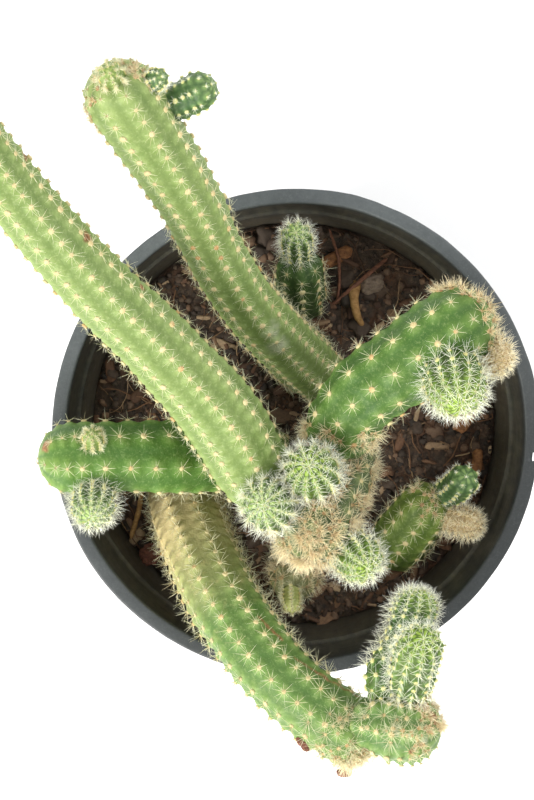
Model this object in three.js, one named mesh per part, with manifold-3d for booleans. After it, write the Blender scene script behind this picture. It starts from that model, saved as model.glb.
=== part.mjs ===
// A peanut cactus: a clump of finger-thick ribbed stems and round pups, growing in a black nursery pot.
// Millimetres, +Z up. The origin is the centre of the pot's underside. +Y is the side that the two
// longest stems lean to, and +X is the side that the thick stem points to.

import * as THREE from "three";
import { mergeVertices } from "three/addons/utils/BufferGeometryUtils.js";
import Module from "manifold-3d";

const wasm = await Module();
wasm.setup();

// Pot
const POT_HEIGHT = 88;
const BASE_RADIUS = 37.5;
const RIM_RADIUS = 51;
const LIP_WIDTH = 3;
const LIP_THICKNESS = 1.8;
const LIP_ROUND = 0.4;
const COLLAR_HEIGHT = 14.5;
const COLLAR_RADIUS = 49.3;
const COLLAR_TAPER = 1.1;
const COLLAR_STEP = 1;
const WALL = 1.3;
const FLOOR = 1.6;
const POT_SEGMENTS = 60;
const DRAIN_HOLES = 6;
const DRAIN_RADIUS = 3.5;
const DRAIN_CIRCLE = 27;
const DRAIN_SIDES = 16;
const NOTCH_ANGLE = -0.1; // radians from +X
const NOTCH_WIDTH = 1.8;
const NOTCH_DEPTH = 1.3;

// Soil
const SOIL_TOP = 62;
const SOIL_MOUND = 1.6;
const SOIL_RIPPLE = 0.5;
const SOIL_SEGMENTS = 48;
const SOIL_RINGS = [1, 0.85, 0.68, 0.5, 0.32, 0.15, 0]; // shares of the radius where the surface has points
const ROOT_Z = 57; // where a rooted stem's flat lower end sits, under the soil's surface

// Pieces that touch or press into each other keep this gap.
const GAP = 0.3;

// Stems
const RIB_DEPTH = 0.04;
const NECK = 0.72; // how far a side shoot narrows where it joins its parent
const RING_STEP = 6;
const TIP_RINGS = 4;
const CURVE_STEPS = 200; // how finely a stem's curve is walked for the frames that its rings stand on

const COLOURS = {
  stem: 0x5f9a4c,
  oldStem: 0x6f8a4e,
  pup: 0x86b45a,
  dried: 0xcdb07a,
  bud: 0xd8cf78,
  plastic: 0x2f3233,
  soil: 0x3a2a20,
  bark: 0x8a5632,
  twig: 0xa98a5e,
  pebble: 0xb9a78c,
  clay: 0x8c4a35,
};

// A stem is the points that its axis passes through, from its lower end to its growing tip, and its
// radius at even steps between them. A rooted one goes into the soil; any other grows from a parent.
const stems = {
  trunk_stem: {
    axis: [
      [9.5, -2.5, ROOT_Z], [9.5, -2.5, 74], [9, -4, 88], [7.5, -7.5, 98], [4.2, -14.5, 105.5],
      [1.4, -24, 110],
    ],
    radii: [7.4, 7.6, 7.8, 7.6],
    ribs: 8,
    rooted: true,
    colour: COLOURS.oldStem,
  },
  long_stem: {
    axis: [
      [0.5, -14.5, 99], [-7.5, -7.5, 103], [-15, 5, 110.5], [-26.5, 19, 122], [-37.5, 30.5, 132],
      [-46.5, 41, 139.5], [-54.5, 51.5, 146.5], [-60.5, 60.5, 156], [-63.5, 67.5, 168],
    ],
    radii: [7.2, 7.8, 6.9, 6.1, 5.6, 5.5],
    ribs: 9,
    parent: "trunk_stem",
    colour: COLOURS.stem,
  },
  leaning_stem: {
    axis: [
      [5, 11.5, ROOT_Z], [4, 12.5, 68], [-4, 20.5, 88], [-12, 30, 102], [-17.5, 40, 113], [-21, 47.5, 121],
      [-26.5, 56.5, 130], [-32.5, 65.5, 138.5], [-36, 70.5, 142],
    ],
    radii: [6.2, 6.2, 5.8, 5.6, 6.5, 7.2],
    ribs: 9,
    rooted: true,
    colour: COLOURS.stem,
  },
  thick_stem: {
    axis: [
      [6.5, -3.5, 97], [9.5, 3.5, 104], [14, 10, 108.5], [20.5, 15, 111.5], [28, 20.5, 113],
      [37.5, 27, 114.5],
    ],
    radii: [6.6, 7.4, 8, 8.1],
    ribs: 9,
    parent: "trunk_stem",
    colour: COLOURS.stem,
  },
  side_stem: {
    axis: [
      [-6, -6.5, ROOT_Z], [-8.5, -6, 74], [-16.5, -5.2, 86], [-26, -4.5, 94], [-37, -4.2, 98],
      [-52.5, -4.2, 100],
    ],
    radii: [6, 7, 7.2, 7.1],
    ribs: 7,
    rooted: true,
    colour: COLOURS.stem,
  },
  front_stem: {
    axis: [
      [-24, -15, ROOT_Z], [-23, -19.5, 74], [-18, -28.5, 89], [-13.8, -35.5, 98], [-5, -46, 107],
      [5.5, -54.3, 112], [15.5, -60.5, 114],
    ],
    radii: [8, 7.4, 7, 7],
    ribs: 9,
    rooted: true,
    colour: COLOURS.oldStem,
  },
  front_end_joint: {
    axis: [[12.5, -55, 116], [17.2, -54.9, 118.5], [22, -55.1, 120.5], [27.8, -55.2, 122.5]],
    radii: [6.2, 6.8, 6.3],
    ribs: 8,
    parent: "front_stem",
    colour: COLOURS.oldStem,
  },
  front_finger: {
    axis: [
      [16.3, -49.5, 118.5], [17.2, -44.2, 121], [20.5, -37.5, 120], [22.6, -33, 119.5],
      [23.8, -28.2, 119.5],
    ],
    radii: [3.4, 3.6, 2.7, 4, 4.2],
    ribs: 8,
    parent: "front_end_joint",
    colour: COLOURS.pup,
  },
  front_finger_pup: {
    axis: [[22, -48, 119], [22, -44.4, 126], [22.4, -39.6, 132.5], [23.2, -34.3, 139]],
    radii: [3.6, 4.2, 4.1],
    ribs: 9,
    parent: "front_end_joint",
    clearOf: ["front_finger"],
    colour: COLOURS.pup,
  },
  trunk_pup_top: {
    axis: [[5, -10, 106], [3, -6.5, 112], [2, -3.8, 118.5]],
    radii: [4.2, 4.9, 4.8],
    ribs: 8,
    parent: "trunk_stem",
    clearOf: ["long_stem"],
    colour: COLOURS.pup,
  },
  trunk_pup_left: {
    axis: [[0, -14.5, 106], [-4.8, -12.6, 111], [-6.8, -11.8, 118.2]],
    radii: [4.2, 4.8, 4.6],
    ribs: 8,
    parent: "trunk_stem",
    clearOf: ["long_stem", "trunk_pup_top"],
    colour: COLOURS.pup,
  },
  trunk_pup_right: {
    axis: [[6, -19, 103], [11, -22.4, 107.5], [14, -25, 113.8]],
    radii: [3.8, 4.4, 4.2],
    ribs: 8,
    parent: "trunk_stem",
    colour: COLOURS.pup,
  },
  thick_stem_pup: {
    axis: [[28.5, 17.5, 114], [30.2, 13, 119.5], [31, 7.8, 125.3]],
    radii: [4.6, 5.5, 5.3],
    ribs: 10,
    parent: "thick_stem",
    colour: COLOURS.pup,
  },
  thick_stem_dry_pup: {
    axis: [[35.6, 21, 110.5], [38.4, 17.6, 113], [39.8, 15.8, 117]],
    radii: [2.2, 2.7, 2.6],
    ribs: 8,
    parent: "thick_stem",
    colour: COLOURS.dried,
  },
  side_stem_pup: {
    axis: [[-41, -6.5, 99], [-41, -12, 102], [-41, -15.5, 108]],
    radii: [3.2, 4, 3.9],
    ribs: 8,
    parent: "side_stem",
    colour: COLOURS.pup,
  },
  side_stem_bud: {
    axis: [[-40.8, -2, 103], [-40.8, 0, 106], [-40.8, 1.5, 108.5]],
    radii: [1.6, 1.9, 1.8],
    ribs: 6,
    parent: "side_stem",
    colour: COLOURS.bud,
  },
  leaning_stem_crown_pup: {
    axis: [[-33.6, 68, 142], [-33.9, 68.7, 146.5], [-34, 69, 150]],
    radii: [1.9, 2.2, 2.1],
    ribs: 8,
    parent: "leaning_stem",
    colour: COLOURS.pup,
  },
  leaning_stem_small_pup: {
    axis: [[-29.5, 67, 139], [-26.6, 68.2, 141.8], [-24.7, 68.8, 144.2]],
    radii: [1.7, 2, 1.9],
    ribs: 6,
    parent: "leaning_stem",
    colour: COLOURS.pup,
  },
  leaning_stem_pup: {
    axis: [[-28, 62, 134], [-22.5, 65, 134.2], [-18.8, 66.7, 135.6], [-16, 68, 137.8]],
    radii: [2.8, 3.4, 3.4],
    ribs: 8,
    parent: "leaning_stem",
    clearOf: ["leaning_stem_small_pup"],
    colour: COLOURS.pup,
  },
  rear_stem: {
    axis: [[1.5, 27, ROOT_Z], [1.5, 28, 66], [1, 31.5, 76], [0.6, 37, 85]],
    radii: [5, 5, 4.6],
    ribs: 8,
    rooted: true,
    colour: COLOURS.stem,
  },
  rear_stem_pup: {
    axis: [[0.6, 36.4, 81], [0.3, 39.4, 87.5], [-0.1, 41.8, 94]],
    radii: [2.6, 2.9, 2.8],
    ribs: 8,
    parent: "rear_stem",
    colour: COLOURS.pup,
  },
  right_stem: {
    axis: [[22, -27.5, ROOT_Z], [23.5, -25, 66], [26, -20, 73], [30, -13.5, 80]],
    radii: [6, 6.2, 5.6],
    ribs: 8,
    rooted: true,
    colour: COLOURS.stem,
  },
  right_stem_pup: {
    axis: [[30, -15, 76.5], [34, -12, 81.5], [35.6, -8.8, 88.8]],
    radii: [2.6, 3.2, 3.1],
    ribs: 8,
    parent: "right_stem",
    colour: COLOURS.pup,
  },
  right_stem_dry_pup: {
    axis: [[29, -17.5, 75.5], [35, -19.4, 79], [39, -20, 83]],
    radii: [2, 2.6, 2.5],
    ribs: 6,
    parent: "right_stem",
    colour: COLOURS.dried,
  },
  low_stem: {
    axis: [[1.5, -26.5, ROOT_Z], [0.5, -29, 66], [-1, -36, 75]],
    radii: [5.2, 5.2, 4.8],
    ribs: 8,
    rooted: true,
    colour: COLOURS.oldStem,
  },
  low_stem_bud: {
    axis: [[-0.8, -33.8, 74], [-0.7, -36.8, 77.2], [-0.6, -38.4, 79.6]],
    radii: [1.5, 1.8, 1.7],
    ribs: 6,
    parent: "low_stem",
    colour: COLOURS.bud,
  },
};

// Loose matter half sunk in the soil: the point at its middle, its size along its own axes, its heading.
const loosePieces = {
  bark_chip_right: { at: [37.5, 1.5, 63.4], size: [7, 3.4, 2], heading: 1.1, sides: 6, colour: COLOURS.bark },
  bark_chip_wall: { at: [40, -8.5, 64.4], size: [7, 2.4, 3], heading: 1.4, sides: 5, colour: COLOURS.bark },
  bark_chip_front: { at: [-24, -34, 63.6], size: [6, 3, 2.4], heading: -0.9, sides: 6, colour: COLOURS.bark },
  bark_chip_rear: { at: [9, 36.5, 63.6], size: [8, 3, 2], heading: 0.5, sides: 5, colour: COLOURS.bark },
  pebble: { at: [17, 31, 63.8], size: [5, 4, 3.4], heading: 0.4, sides: 8, colour: COLOURS.pebble },
  clay_pellet: { at: [-31.5, -28.5, 64.4], size: [4.4, 4.2, 4], heading: 0, sides: 10, colour: COLOURS.clay },
};

// Twigs lying on the soil, with their ends pushed into it.
const twigs = {
  curved_twig: { axis: [[14, 31.5, 62], [13, 29, 65.4], [13.6, 24.5, 65.8], [15.6, 21, 62.2]], radius: 0.8 },
  straight_twig: { axis: [[-33.4, -12, 62.4], [-34, -18, 65], [-36, -25, 64.6]], radius: 0.65 },
};

// Solids

function toSolid(geometry) {
  const bare = geometry.clone();
  bare.deleteAttribute("normal");
  bare.deleteAttribute("uv");
  const merged = mergeVertices(bare, 1e-3);
  return new wasm.Manifold(
    new wasm.Mesh({
      numProp: 3,
      vertProperties: new Float32Array(merged.attributes.position.array),
      triVerts: new Uint32Array(merged.index.array),
    }),
  );
}

function toGeometry(solid) {
  const mesh = solid.getMesh();
  const geometry = new THREE.BufferGeometry();
  geometry.setAttribute("position", new THREE.BufferAttribute(mesh.vertProperties, 3));
  geometry.setIndex(new THREE.BufferAttribute(mesh.triVerts, 1));
  geometry.computeVertexNormals();
  return geometry;
}

// LatheGeometry turns about Y, and the pot stands on Z.
function lathe(profile, segments) {
  const points = profile.map(([radius, height]) => new THREE.Vector2(radius, height));
  return new THREE.LatheGeometry(points, segments).rotateX(Math.PI / 2);
}

// The value at t, from 0 to 1, of a list of values at even steps.
function along(values, t) {
  const place = Math.min(Math.max(t, 0), 1) * (values.length - 1);
  const before = Math.min(Math.floor(place), values.length - 2);
  return THREE.MathUtils.lerp(values[before], values[before + 1], place - before);
}

// Where a stem's rings stand along its axis, and how much of its full radius each one has.
function ringStations(length, radii, isRooted) {
  const tipRadius = radii[radii.length - 1];
  const body = length - tipRadius;
  const count = Math.max(Math.round(body / RING_STEP), 2);
  const stations = [];
  for (let i = 0; i < count; i += 1) {
    const share = i / count;
    const neck = isRooted ? 1 : THREE.MathUtils.lerp(NECK, 1, Math.min((share * body) / tipRadius, 1));
    stations.push({ distance: share * body, share: neck });
  }
  for (let i = 0; i < TIP_RINGS; i += 1) {
    const angle = (i / TIP_RINGS) * (Math.PI / 2);
    stations.push({ distance: body + tipRadius * Math.sin(angle), share: Math.cos(angle) });
  }
  return stations;
}

// A ribbed finger along a curve: a flat lower end, rings with a ridge for each rib, and a domed tip.
function stemGeometry({ axis, radii, ribs, rooted }, grow = 0) {
  const curve = new THREE.CatmullRomCurve3(axis.map((p) => new THREE.Vector3(...p)), false, "centripetal");
  const length = curve.getLength();
  const stations = ringStations(length, radii, rooted);
  const frames = curve.computeFrenetFrames(CURVE_STEPS, false);
  const around = ribs * 2;
  const positions = [];
  for (const { distance, share } of stations) {
    const u = distance / length;
    const centre = curve.getPointAt(u);
    const frame = Math.round(u * CURVE_STEPS);
    const radius = along(radii, u) * share + grow;
    for (let i = 0; i < around; i += 1) {
      const turn = (i / around) * Math.PI * 2;
      const reach = radius * (1 + RIB_DEPTH * Math.cos(ribs * turn));
      const point = centre
        .clone()
        .addScaledVector(frames.normals[frame], reach * Math.cos(turn))
        .addScaledVector(frames.binormals[frame], reach * Math.sin(turn));
      positions.push(...point.toArray());
    }
  }
  const bottom = curve.getPointAt(0).addScaledVector(frames.tangents[0], -grow);
  const tip = curve.getPointAt(1).addScaledVector(frames.tangents[CURVE_STEPS], grow);
  positions.push(...bottom.toArray(), ...tip.toArray());
  return closedRings(positions, stations.length, around);
}

// Joins rings of vertices, then a lower and an upper end vertex, into one closed surface.
function closedRings(positions, rings, around) {
  const lowerEnd = rings * around;
  const upperEnd = lowerEnd + 1;
  const lastRing = (rings - 1) * around;
  const index = [];
  for (let i = 0; i < around; i += 1) {
    const next = (i + 1) % around;
    index.push(lowerEnd, next, i);
    index.push(upperEnd, lastRing + i, lastRing + next);
    for (let ring = 0; ring < rings - 1; ring += 1) {
      const low = ring * around;
      const high = low + around;
      index.push(low + i, low + next, high + i);
      index.push(low + next, high + next, high + i);
    }
  }
  const geometry = new THREE.BufferGeometry();
  geometry.setAttribute("position", new THREE.Float32BufferAttribute(positions, 3));
  geometry.setIndex(index);
  geometry.computeVertexNormals();
  return geometry;
}

// A stem, less its parent and any neighbour that it presses against, each with the gap around it.
function stemSolid(stem) {
  const neighbours = [stem.parent, ...(stem.clearOf ?? [])].filter(Boolean);
  return neighbours.reduce(
    (solid, name) => solid.subtract(toSolid(stemGeometry(stems[name], GAP))),
    toSolid(stemGeometry(stem)),
  );
}

function potProfile() {
  const collarFoot = POT_HEIGHT - COLLAR_HEIGHT;
  const bodyTop = COLLAR_RADIUS - COLLAR_TAPER - COLLAR_STEP;
  const lipInner = RIM_RADIUS - LIP_WIDTH;
  return [
    [0, 0],
    [BASE_RADIUS, 0],
    [bodyTop, collarFoot],
    [COLLAR_RADIUS - COLLAR_TAPER, collarFoot + COLLAR_STEP],
    [COLLAR_RADIUS, POT_HEIGHT - LIP_THICKNESS],
    [RIM_RADIUS, POT_HEIGHT - LIP_THICKNESS],
    [RIM_RADIUS, POT_HEIGHT - LIP_ROUND],
    [RIM_RADIUS - LIP_ROUND, POT_HEIGHT],
    [lipInner + LIP_ROUND, POT_HEIGHT],
    [lipInner, POT_HEIGHT - LIP_ROUND],
    [lipInner - COLLAR_TAPER, collarFoot + COLLAR_STEP],
    [bodyTop - WALL, collarFoot],
    [BASE_RADIUS - WALL, FLOOR],
    [0, FLOOR],
  ];
}

function potSolid() {
  let pot = toSolid(lathe(potProfile(), POT_SEGMENTS));
  for (let i = 0; i < DRAIN_HOLES; i += 1) {
    const angle = (i / DRAIN_HOLES) * Math.PI * 2;
    const hole = new THREE.CylinderGeometry(DRAIN_RADIUS, DRAIN_RADIUS, FLOOR * 3, DRAIN_SIDES)
      .rotateX(Math.PI / 2)
      .translate(DRAIN_CIRCLE * Math.cos(angle), DRAIN_CIRCLE * Math.sin(angle), FLOOR / 2);
    pot = pot.subtract(toSolid(hole));
  }
  const notch = new THREE.BoxGeometry(NOTCH_DEPTH * 2, NOTCH_WIDTH, LIP_THICKNESS * 3)
    .translate(RIM_RADIUS, 0, POT_HEIGHT)
    .rotateZ(NOTCH_ANGLE);
  return pot.subtract(toSolid(notch));
}

// The soil's height above SOIL_TOP: a low mound in the middle, with shallow ripples.
function soilRise(x, y) {
  const out = Math.hypot(x, y) / RIM_RADIUS;
  const ripple = Math.sin(x * 0.31 + 1) * Math.cos(y * 0.27) + 0.6 * Math.sin(x * 0.13 - y * 0.44);
  return SOIL_MOUND * (1 - out * out) + SOIL_RIPPLE * ripple;
}

function soilSolid(buried) {
  const foot = FLOOR + GAP;
  const wallSlope = (COLLAR_RADIUS - COLLAR_TAPER - COLLAR_STEP - BASE_RADIUS) / (POT_HEIGHT - COLLAR_HEIGHT);
  const wallRadius = (height) => BASE_RADIUS - WALL - GAP + wallSlope * (height - FLOOR);
  const edge = wallRadius(SOIL_TOP);
  const rings = SOIL_RINGS.map((share) => [edge * share, SOIL_TOP]);
  const geometry = lathe([[0, foot], [wallRadius(foot), foot], ...rings], SOIL_SEGMENTS);
  const position = geometry.attributes.position;
  for (let i = 0; i < position.count; i += 1) {
    if (position.getZ(i) > SOIL_TOP - 1) {
      position.setZ(i, SOIL_TOP + soilRise(position.getX(i), position.getY(i)));
    }
  }
  return buried.reduce((soil, solid) => soil.subtract(solid), toSolid(geometry));
}

function twigGeometry({ axis, radius }, grow = 0) {
  return stemGeometry({ axis, radii: [radius, radius], ribs: 3, rooted: true }, grow);
}

// A chip or grain: a squashed ball with few sides, so that it has flats and edges.
function looseGeometry({ at, size, heading, sides }, grow = 0) {
  const rings = Math.max(Math.round(sides / 2), 3);
  return new THREE.SphereGeometry(0.5, sides, rings)
    .rotateX(Math.PI / 2)
    .scale(...size.map((length) => length + 2 * grow))
    .rotateZ(heading)
    .translate(...at);
}

// The model

const group = new THREE.Group();

function addPiece(name, geometry, color, roughness) {
  const mesh = new THREE.Mesh(geometry, new THREE.MeshStandardMaterial({ color, roughness, metalness: 0 }));
  mesh.name = name;
  group.add(mesh);
}

const buried = [
  ...Object.values(stems).filter((stem) => stem.rooted).map((stem) => toSolid(stemGeometry(stem, GAP))),
  ...Object.values(loosePieces).map((piece) => toSolid(looseGeometry(piece, GAP))),
  ...Object.values(twigs).map((twig) => toSolid(twigGeometry(twig, GAP))),
];

addPiece("pot", toGeometry(potSolid()), COLOURS.plastic, 0.5);
addPiece("soil", toGeometry(soilSolid(buried)), COLOURS.soil, 1);
for (const [name, stem] of Object.entries(stems)) {
  addPiece(name, toGeometry(stemSolid(stem)), stem.colour, 0.6);
}
for (const [name, piece] of Object.entries(loosePieces)) {
  addPiece(name, toGeometry(toSolid(looseGeometry(piece))), piece.colour, 0.9);
}
for (const [name, twig] of Object.entries(twigs)) {
  addPiece(name, twigGeometry(twig), COLOURS.twig, 0.9);
}

export default group;
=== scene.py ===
"""The looks of a potted cactus: a clump of ribbed, spiny stems in a black nursery pot of soil.

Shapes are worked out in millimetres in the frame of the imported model, +Z up, with the origin at the
centre of the pot's underside, and scaled to metres as each mesh is made.
"""

import itertools
import math
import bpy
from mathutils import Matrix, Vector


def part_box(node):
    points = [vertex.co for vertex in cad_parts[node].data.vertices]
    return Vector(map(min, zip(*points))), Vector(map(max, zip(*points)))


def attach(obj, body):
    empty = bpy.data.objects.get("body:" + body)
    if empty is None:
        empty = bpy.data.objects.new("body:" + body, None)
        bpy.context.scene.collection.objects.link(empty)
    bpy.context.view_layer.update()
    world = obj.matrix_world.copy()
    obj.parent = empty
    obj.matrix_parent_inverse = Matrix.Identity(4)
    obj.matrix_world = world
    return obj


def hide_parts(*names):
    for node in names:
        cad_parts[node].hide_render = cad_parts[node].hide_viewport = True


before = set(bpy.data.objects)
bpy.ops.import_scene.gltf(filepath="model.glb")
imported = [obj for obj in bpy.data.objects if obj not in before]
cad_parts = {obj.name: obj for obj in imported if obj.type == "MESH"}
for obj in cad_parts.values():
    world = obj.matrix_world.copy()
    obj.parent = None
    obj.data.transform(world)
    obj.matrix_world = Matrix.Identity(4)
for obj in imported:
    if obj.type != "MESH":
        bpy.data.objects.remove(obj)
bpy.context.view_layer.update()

import zlib

import bmesh
import bpy
import numpy as np

MM = 0.001

# The camera, almost straight above the pot
CAMERA_AT = (-0.00597, 0.03282, 0.53685)
CAMERA_TILT = math.radians(-3.3)
CAMERA_LENS = 97.08

# Skin
GRID = 0.42  # distance between the skin's points
LINE_STEP = 0.25  # distance between the points that a stem's centreline is kept as
TIP_STEPS = 22
NECK = 0.72  # how far a side shoot narrows where it joins its parent
SWELL = 0.035  # how much a stem's thickness wanders

# How a stem's areoles carry their spines: how many, how long, how far each leans from the skin's
# outward direction, how many more stand straight out, how thick they are, and how big the wool is.
SPINES = {
    "mature": dict(count=8, length=(1.9, 3.0), lean=(60, 85), centre=1, width=0.052, wool=0.54),
    "slender": dict(count=9, length=(1.5, 2.5), lean=(58, 86), centre=1, width=0.045, wool=0.52),
    "bristly": dict(count=9, length=(2.0, 3.2), lean=(48, 84), centre=2, width=0.052, wool=0.5),
    "pup": dict(count=9, length=(2.4, 3.5), lean=(32, 82), centre=1, width=0.042, wool=0.42),
    "dense": dict(count=10, length=(2.7, 3.9), lean=(32, 84), centre=2, width=0.044, wool=0.44),
    "fine": dict(count=9, length=(1.8, 2.7), lean=(30, 80), centre=1, width=0.04, wool=0.38),
    "dried": dict(count=12, length=(2.0, 3.4), lean=(20, 78), centre=3, width=0.055, wool=0.4),
    "husky": dict(count=12, length=(1.4, 2.8), lean=(20, 80), centre=3, width=0.05, wool=0.45),
    "soft": dict(count=8, length=(0.8, 1.4), lean=(35, 78), centre=1, width=0.042, wool=0.44),
    "bud": dict(count=14, length=(0.8, 1.6), lean=(25, 80), centre=4, width=0.045, wool=0.34),
}


def stem(axis, radii, ribs, step, spines="pup", skin="young_pup", rooted=False, **marks):
    """A stem's centreline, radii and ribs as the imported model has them, then its areoles' spacing."""
    return dict(
        axis=axis, radii=radii, ribs=ribs, step=step, spines=spines, skin=skin, rooted=rooted, **marks
    )


STEMS = {
    "trunk_stem": stem(
        [(9.5, -2.5, 57), (9.5, -2.5, 74), (9, -4, 88), (7.5, -7.5, 98), (4.2, -14.5, 105.5), (1.4, -24, 110)],
        [7.4, 7.6, 7.8, 7.6], 8, 3.7, "bristly", "old_stem", rooted=True, old=(0.9, 0.12),
    ),
    "long_stem": stem(
        [(0.5, -14.5, 99), (-7.5, -7.5, 103), (-15, 5, 110.5), (-26.5, 19, 122), (-37.5, 30.5, 132),
         (-46.5, 41, 139.5), (-54.5, 51.5, 146.5), (-60.5, 60.5, 156), (-63.5, 67.5, 168)],
        [7.2, 7.8, 6.9, 6.1, 5.6, 5.5], 9, 2.95, "slender", "green_stem", old=(0.1, 0),
        scars=[(79, 56, 1.7), (98.5, 82, 1.2), (63, 70, 0.8)],
    ),
    "leaning_stem": stem(
        [(5, 11.5, 57), (4, 12.5, 68), (-4, 20.5, 88), (-12, 30, 102), (-17.5, 40, 113), (-21, 47.5, 121),
         (-26.5, 56.5, 130), (-32.5, 65.5, 138.5), (-36, 70.5, 142)],
        [6.2, 6.2, 5.8, 5.6, 6.5, 7.2], 9, 3.1, "slender", "green_stem", rooted=True, old=(0.15, 0.03),
        scars=[(108.5, -72, 1.1), (109, 60, 1.3)], corky=[(38, 2, 3.4), (43, 14, 3)],
        tan_wool=[(69.4, 3, 2.2), (71.6, -33, 2.2), (78.8, -6, 1.5)],
    ),
    "thick_stem": stem(
        [(6.5, -3.5, 97), (9.5, 3.5, 104), (14, 10, 108.5), (20.5, 15, 111.5), (28, 20.5, 113),
         (37.5, 27, 114.5)],
        [6.6, 7.4, 8, 8.1], 9, 4.7, "mature", "green_stem", twist=0,
    ),
    "side_stem": stem(
        [(-6, -6.5, 57), (-8.5, -6, 74), (-16.5, -5.2, 86), (-26, -4.5, 94), (-37, -4.2, 98),
         (-52.5, -4.2, 100)],
        [6, 7, 7.2, 7.1], 7, 4.5, "mature", "green_stem", rooted=True, old=(0.4, 0.05), twist=0,
        phase=-12, crowd=0.5, scars=[(70, 38, 1.5)],
    ),
    "front_stem": stem(
        [(-24, -15, 57), (-23, -19.5, 74), (-18, -28.5, 89), (-13.8, -35.5, 98), (-5, -46, 107),
         (5.5, -54.3, 112), (15.5, -60.5, 114)],
        [8, 7.4, 7, 7], 9, 3.1, "bristly", "old_stem", rooted=True, old=(3.2, 0),
        cracks=[(68, -48, 75, -60), (75, -58, 83, -76), (56.5, -46, 63, -57)],
    ),
    "front_end_joint": stem(
        [(12.5, -55, 116), (17.2, -54.9, 118.5), (22, -55.1, 120.5), (27.8, -55.2, 122.5)],
        [6.2, 6.8, 6.3], 8, 3.1, "mature", "green_stem", old=(0.1, 0.1), height=0.12, crowd=0.5,
        scars=[(15.5, -55, 1.5), (14, -66, 1.5)], corky=[(9.5, -6, 1.6), (14.5, 20, 1.6)],
        tan_wool=[(15.7, -9, 5)],
    ),
    "front_finger": stem(
        [(16.3, -49.5, 118.5), (17.2, -44.2, 121), (20.5, -37.5, 120), (22.6, -33, 119.5), (23.8, -28.2, 119.5)],
        [3.4, 3.6, 2.7, 4, 4.2], 11, 2.3, "pup",
    ),
    "front_finger_pup": stem(
        [(22, -48, 119), (22, -44.4, 126), (22.4, -39.6, 132.5), (23.2, -34.3, 139)],
        [3.6, 4.2, 4.1], 11, 3.0, "pup",
    ),
    "trunk_pup_top": stem([(5, -10, 106), (3, -6.5, 112), (2, -3.8, 118.5)], [4.2, 4.9, 4.8], 12, 2.2),
    "trunk_pup_left": stem(
        [(0, -14.5, 106), (-4.8, -12.6, 111), (-6.8, -11.8, 118.2)], [4.2, 4.8, 4.6], 12, 2.2,
    ),
    "trunk_pup_right": stem([(6, -19, 103), (11, -22.4, 107.5), (14, -25, 113.8)], [3.8, 4.4, 4.2], 11, 2.2),
    "thick_stem_pup": stem(
        [(28.5, 17.5, 114), (30.2, 13, 119.5), (31, 7.8, 125.3)], [4.6, 5.5, 5.3], 13, 2.7, "dense",
    ),
    "thick_stem_dry_pup": stem(
        [(35.6, 21, 110.5), (38.4, 17.6, 113), (39.8, 15.8, 117)], [2.2, 2.7, 2.6], 9, 1.9, "dried", "dried_pup",
    ),
    "side_stem_pup": stem([(-41, -6.5, 99), (-41, -12, 102), (-41, -15.5, 108)], [3.2, 4, 3.9], 11, 2.2, "pup"),
    "side_stem_bud": stem(
        [(-40.8, -2, 103), (-40.8, 0, 106), (-40.8, 1.5, 108.5)], [1.6, 1.9, 1.8], 8, 1.3, "bud", "new_bud",
    ),
    "leaning_stem_crown_pup": stem(
        [(-33.6, 68, 142), (-33.9, 68.7, 146.5), (-34, 69, 150)], [1.9, 2.2, 2.1], 8, 1.5, "bud",
    ),
    "leaning_stem_small_pup": stem(
        [(-29.5, 67, 139), (-26.6, 68.2, 141.8), (-24.7, 68.8, 144.2)], [1.7, 2, 1.9], 8, 1.6, "soft",
    ),
    "leaning_stem_pup": stem(
        [(-28, 62, 134), (-22.5, 65, 134.2), (-18.8, 66.7, 135.6), (-16, 68, 137.8)],
        [2.8, 3.4, 3.4], 8, 2.2, "soft", crowd=0.85,
    ),
    "rear_stem": stem(
        [(1.5, 27, 57), (1.5, 28, 66), (1, 31.5, 76), (0.6, 37, 85)],
        [5, 5, 4.6], 8, 3.4, "mature", "green_stem", rooted=True, old=(0.2, 0),
    ),
    "rear_stem_pup": stem(
        [(0.6, 36.4, 81), (0.3, 39.4, 87.5), (-0.1, 41.8, 94)], [2.6, 2.9, 2.8], 9, 2.2, "fine",
    ),
    "right_stem": stem(
        [(22, -27.5, 57), (23.5, -25, 66), (26, -20, 73), (30, -13.5, 80)],
        [6, 6.2, 5.6], 8, 3.6, "mature", "green_stem", rooted=True, old=(0.2, 0.1),
    ),
    "right_stem_pup": stem(
        [(30, -15, 76.5), (34, -12, 81.5), (35.6, -8.8, 88.8)], [2.6, 3.2, 3.1], 8, 2.2, "soft", crowd=0.85,
    ),
    "right_stem_dry_pup": stem(
        [(29, -17.5, 75.5), (35, -19.4, 79), (39, -20, 83)], [2, 2.6, 2.5], 9, 1.5, "husky", "dried_pup",
    ),
    "low_stem": stem(
        [(1.5, -26.5, 57), (0.5, -29, 66), (-1, -36, 75)],
        [5.2, 5.2, 4.8], 8, 3.2, "bristly", "old_stem", rooted=True, old=(0.9, 0.25),
    ),
    "low_stem_bud": stem(
        [(-0.8, -33.8, 74), (-0.7, -36.8, 77.2), (-0.6, -38.4, 79.6)], [1.5, 1.8, 1.7], 6, 1.3, "bud", "new_bud",
    ),
}


# Numbers

def chance(name):
    """A random number source that gives the same numbers for a name on every run."""
    return np.random.RandomState(zlib.crc32(name.encode()) % (2**31))


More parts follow.
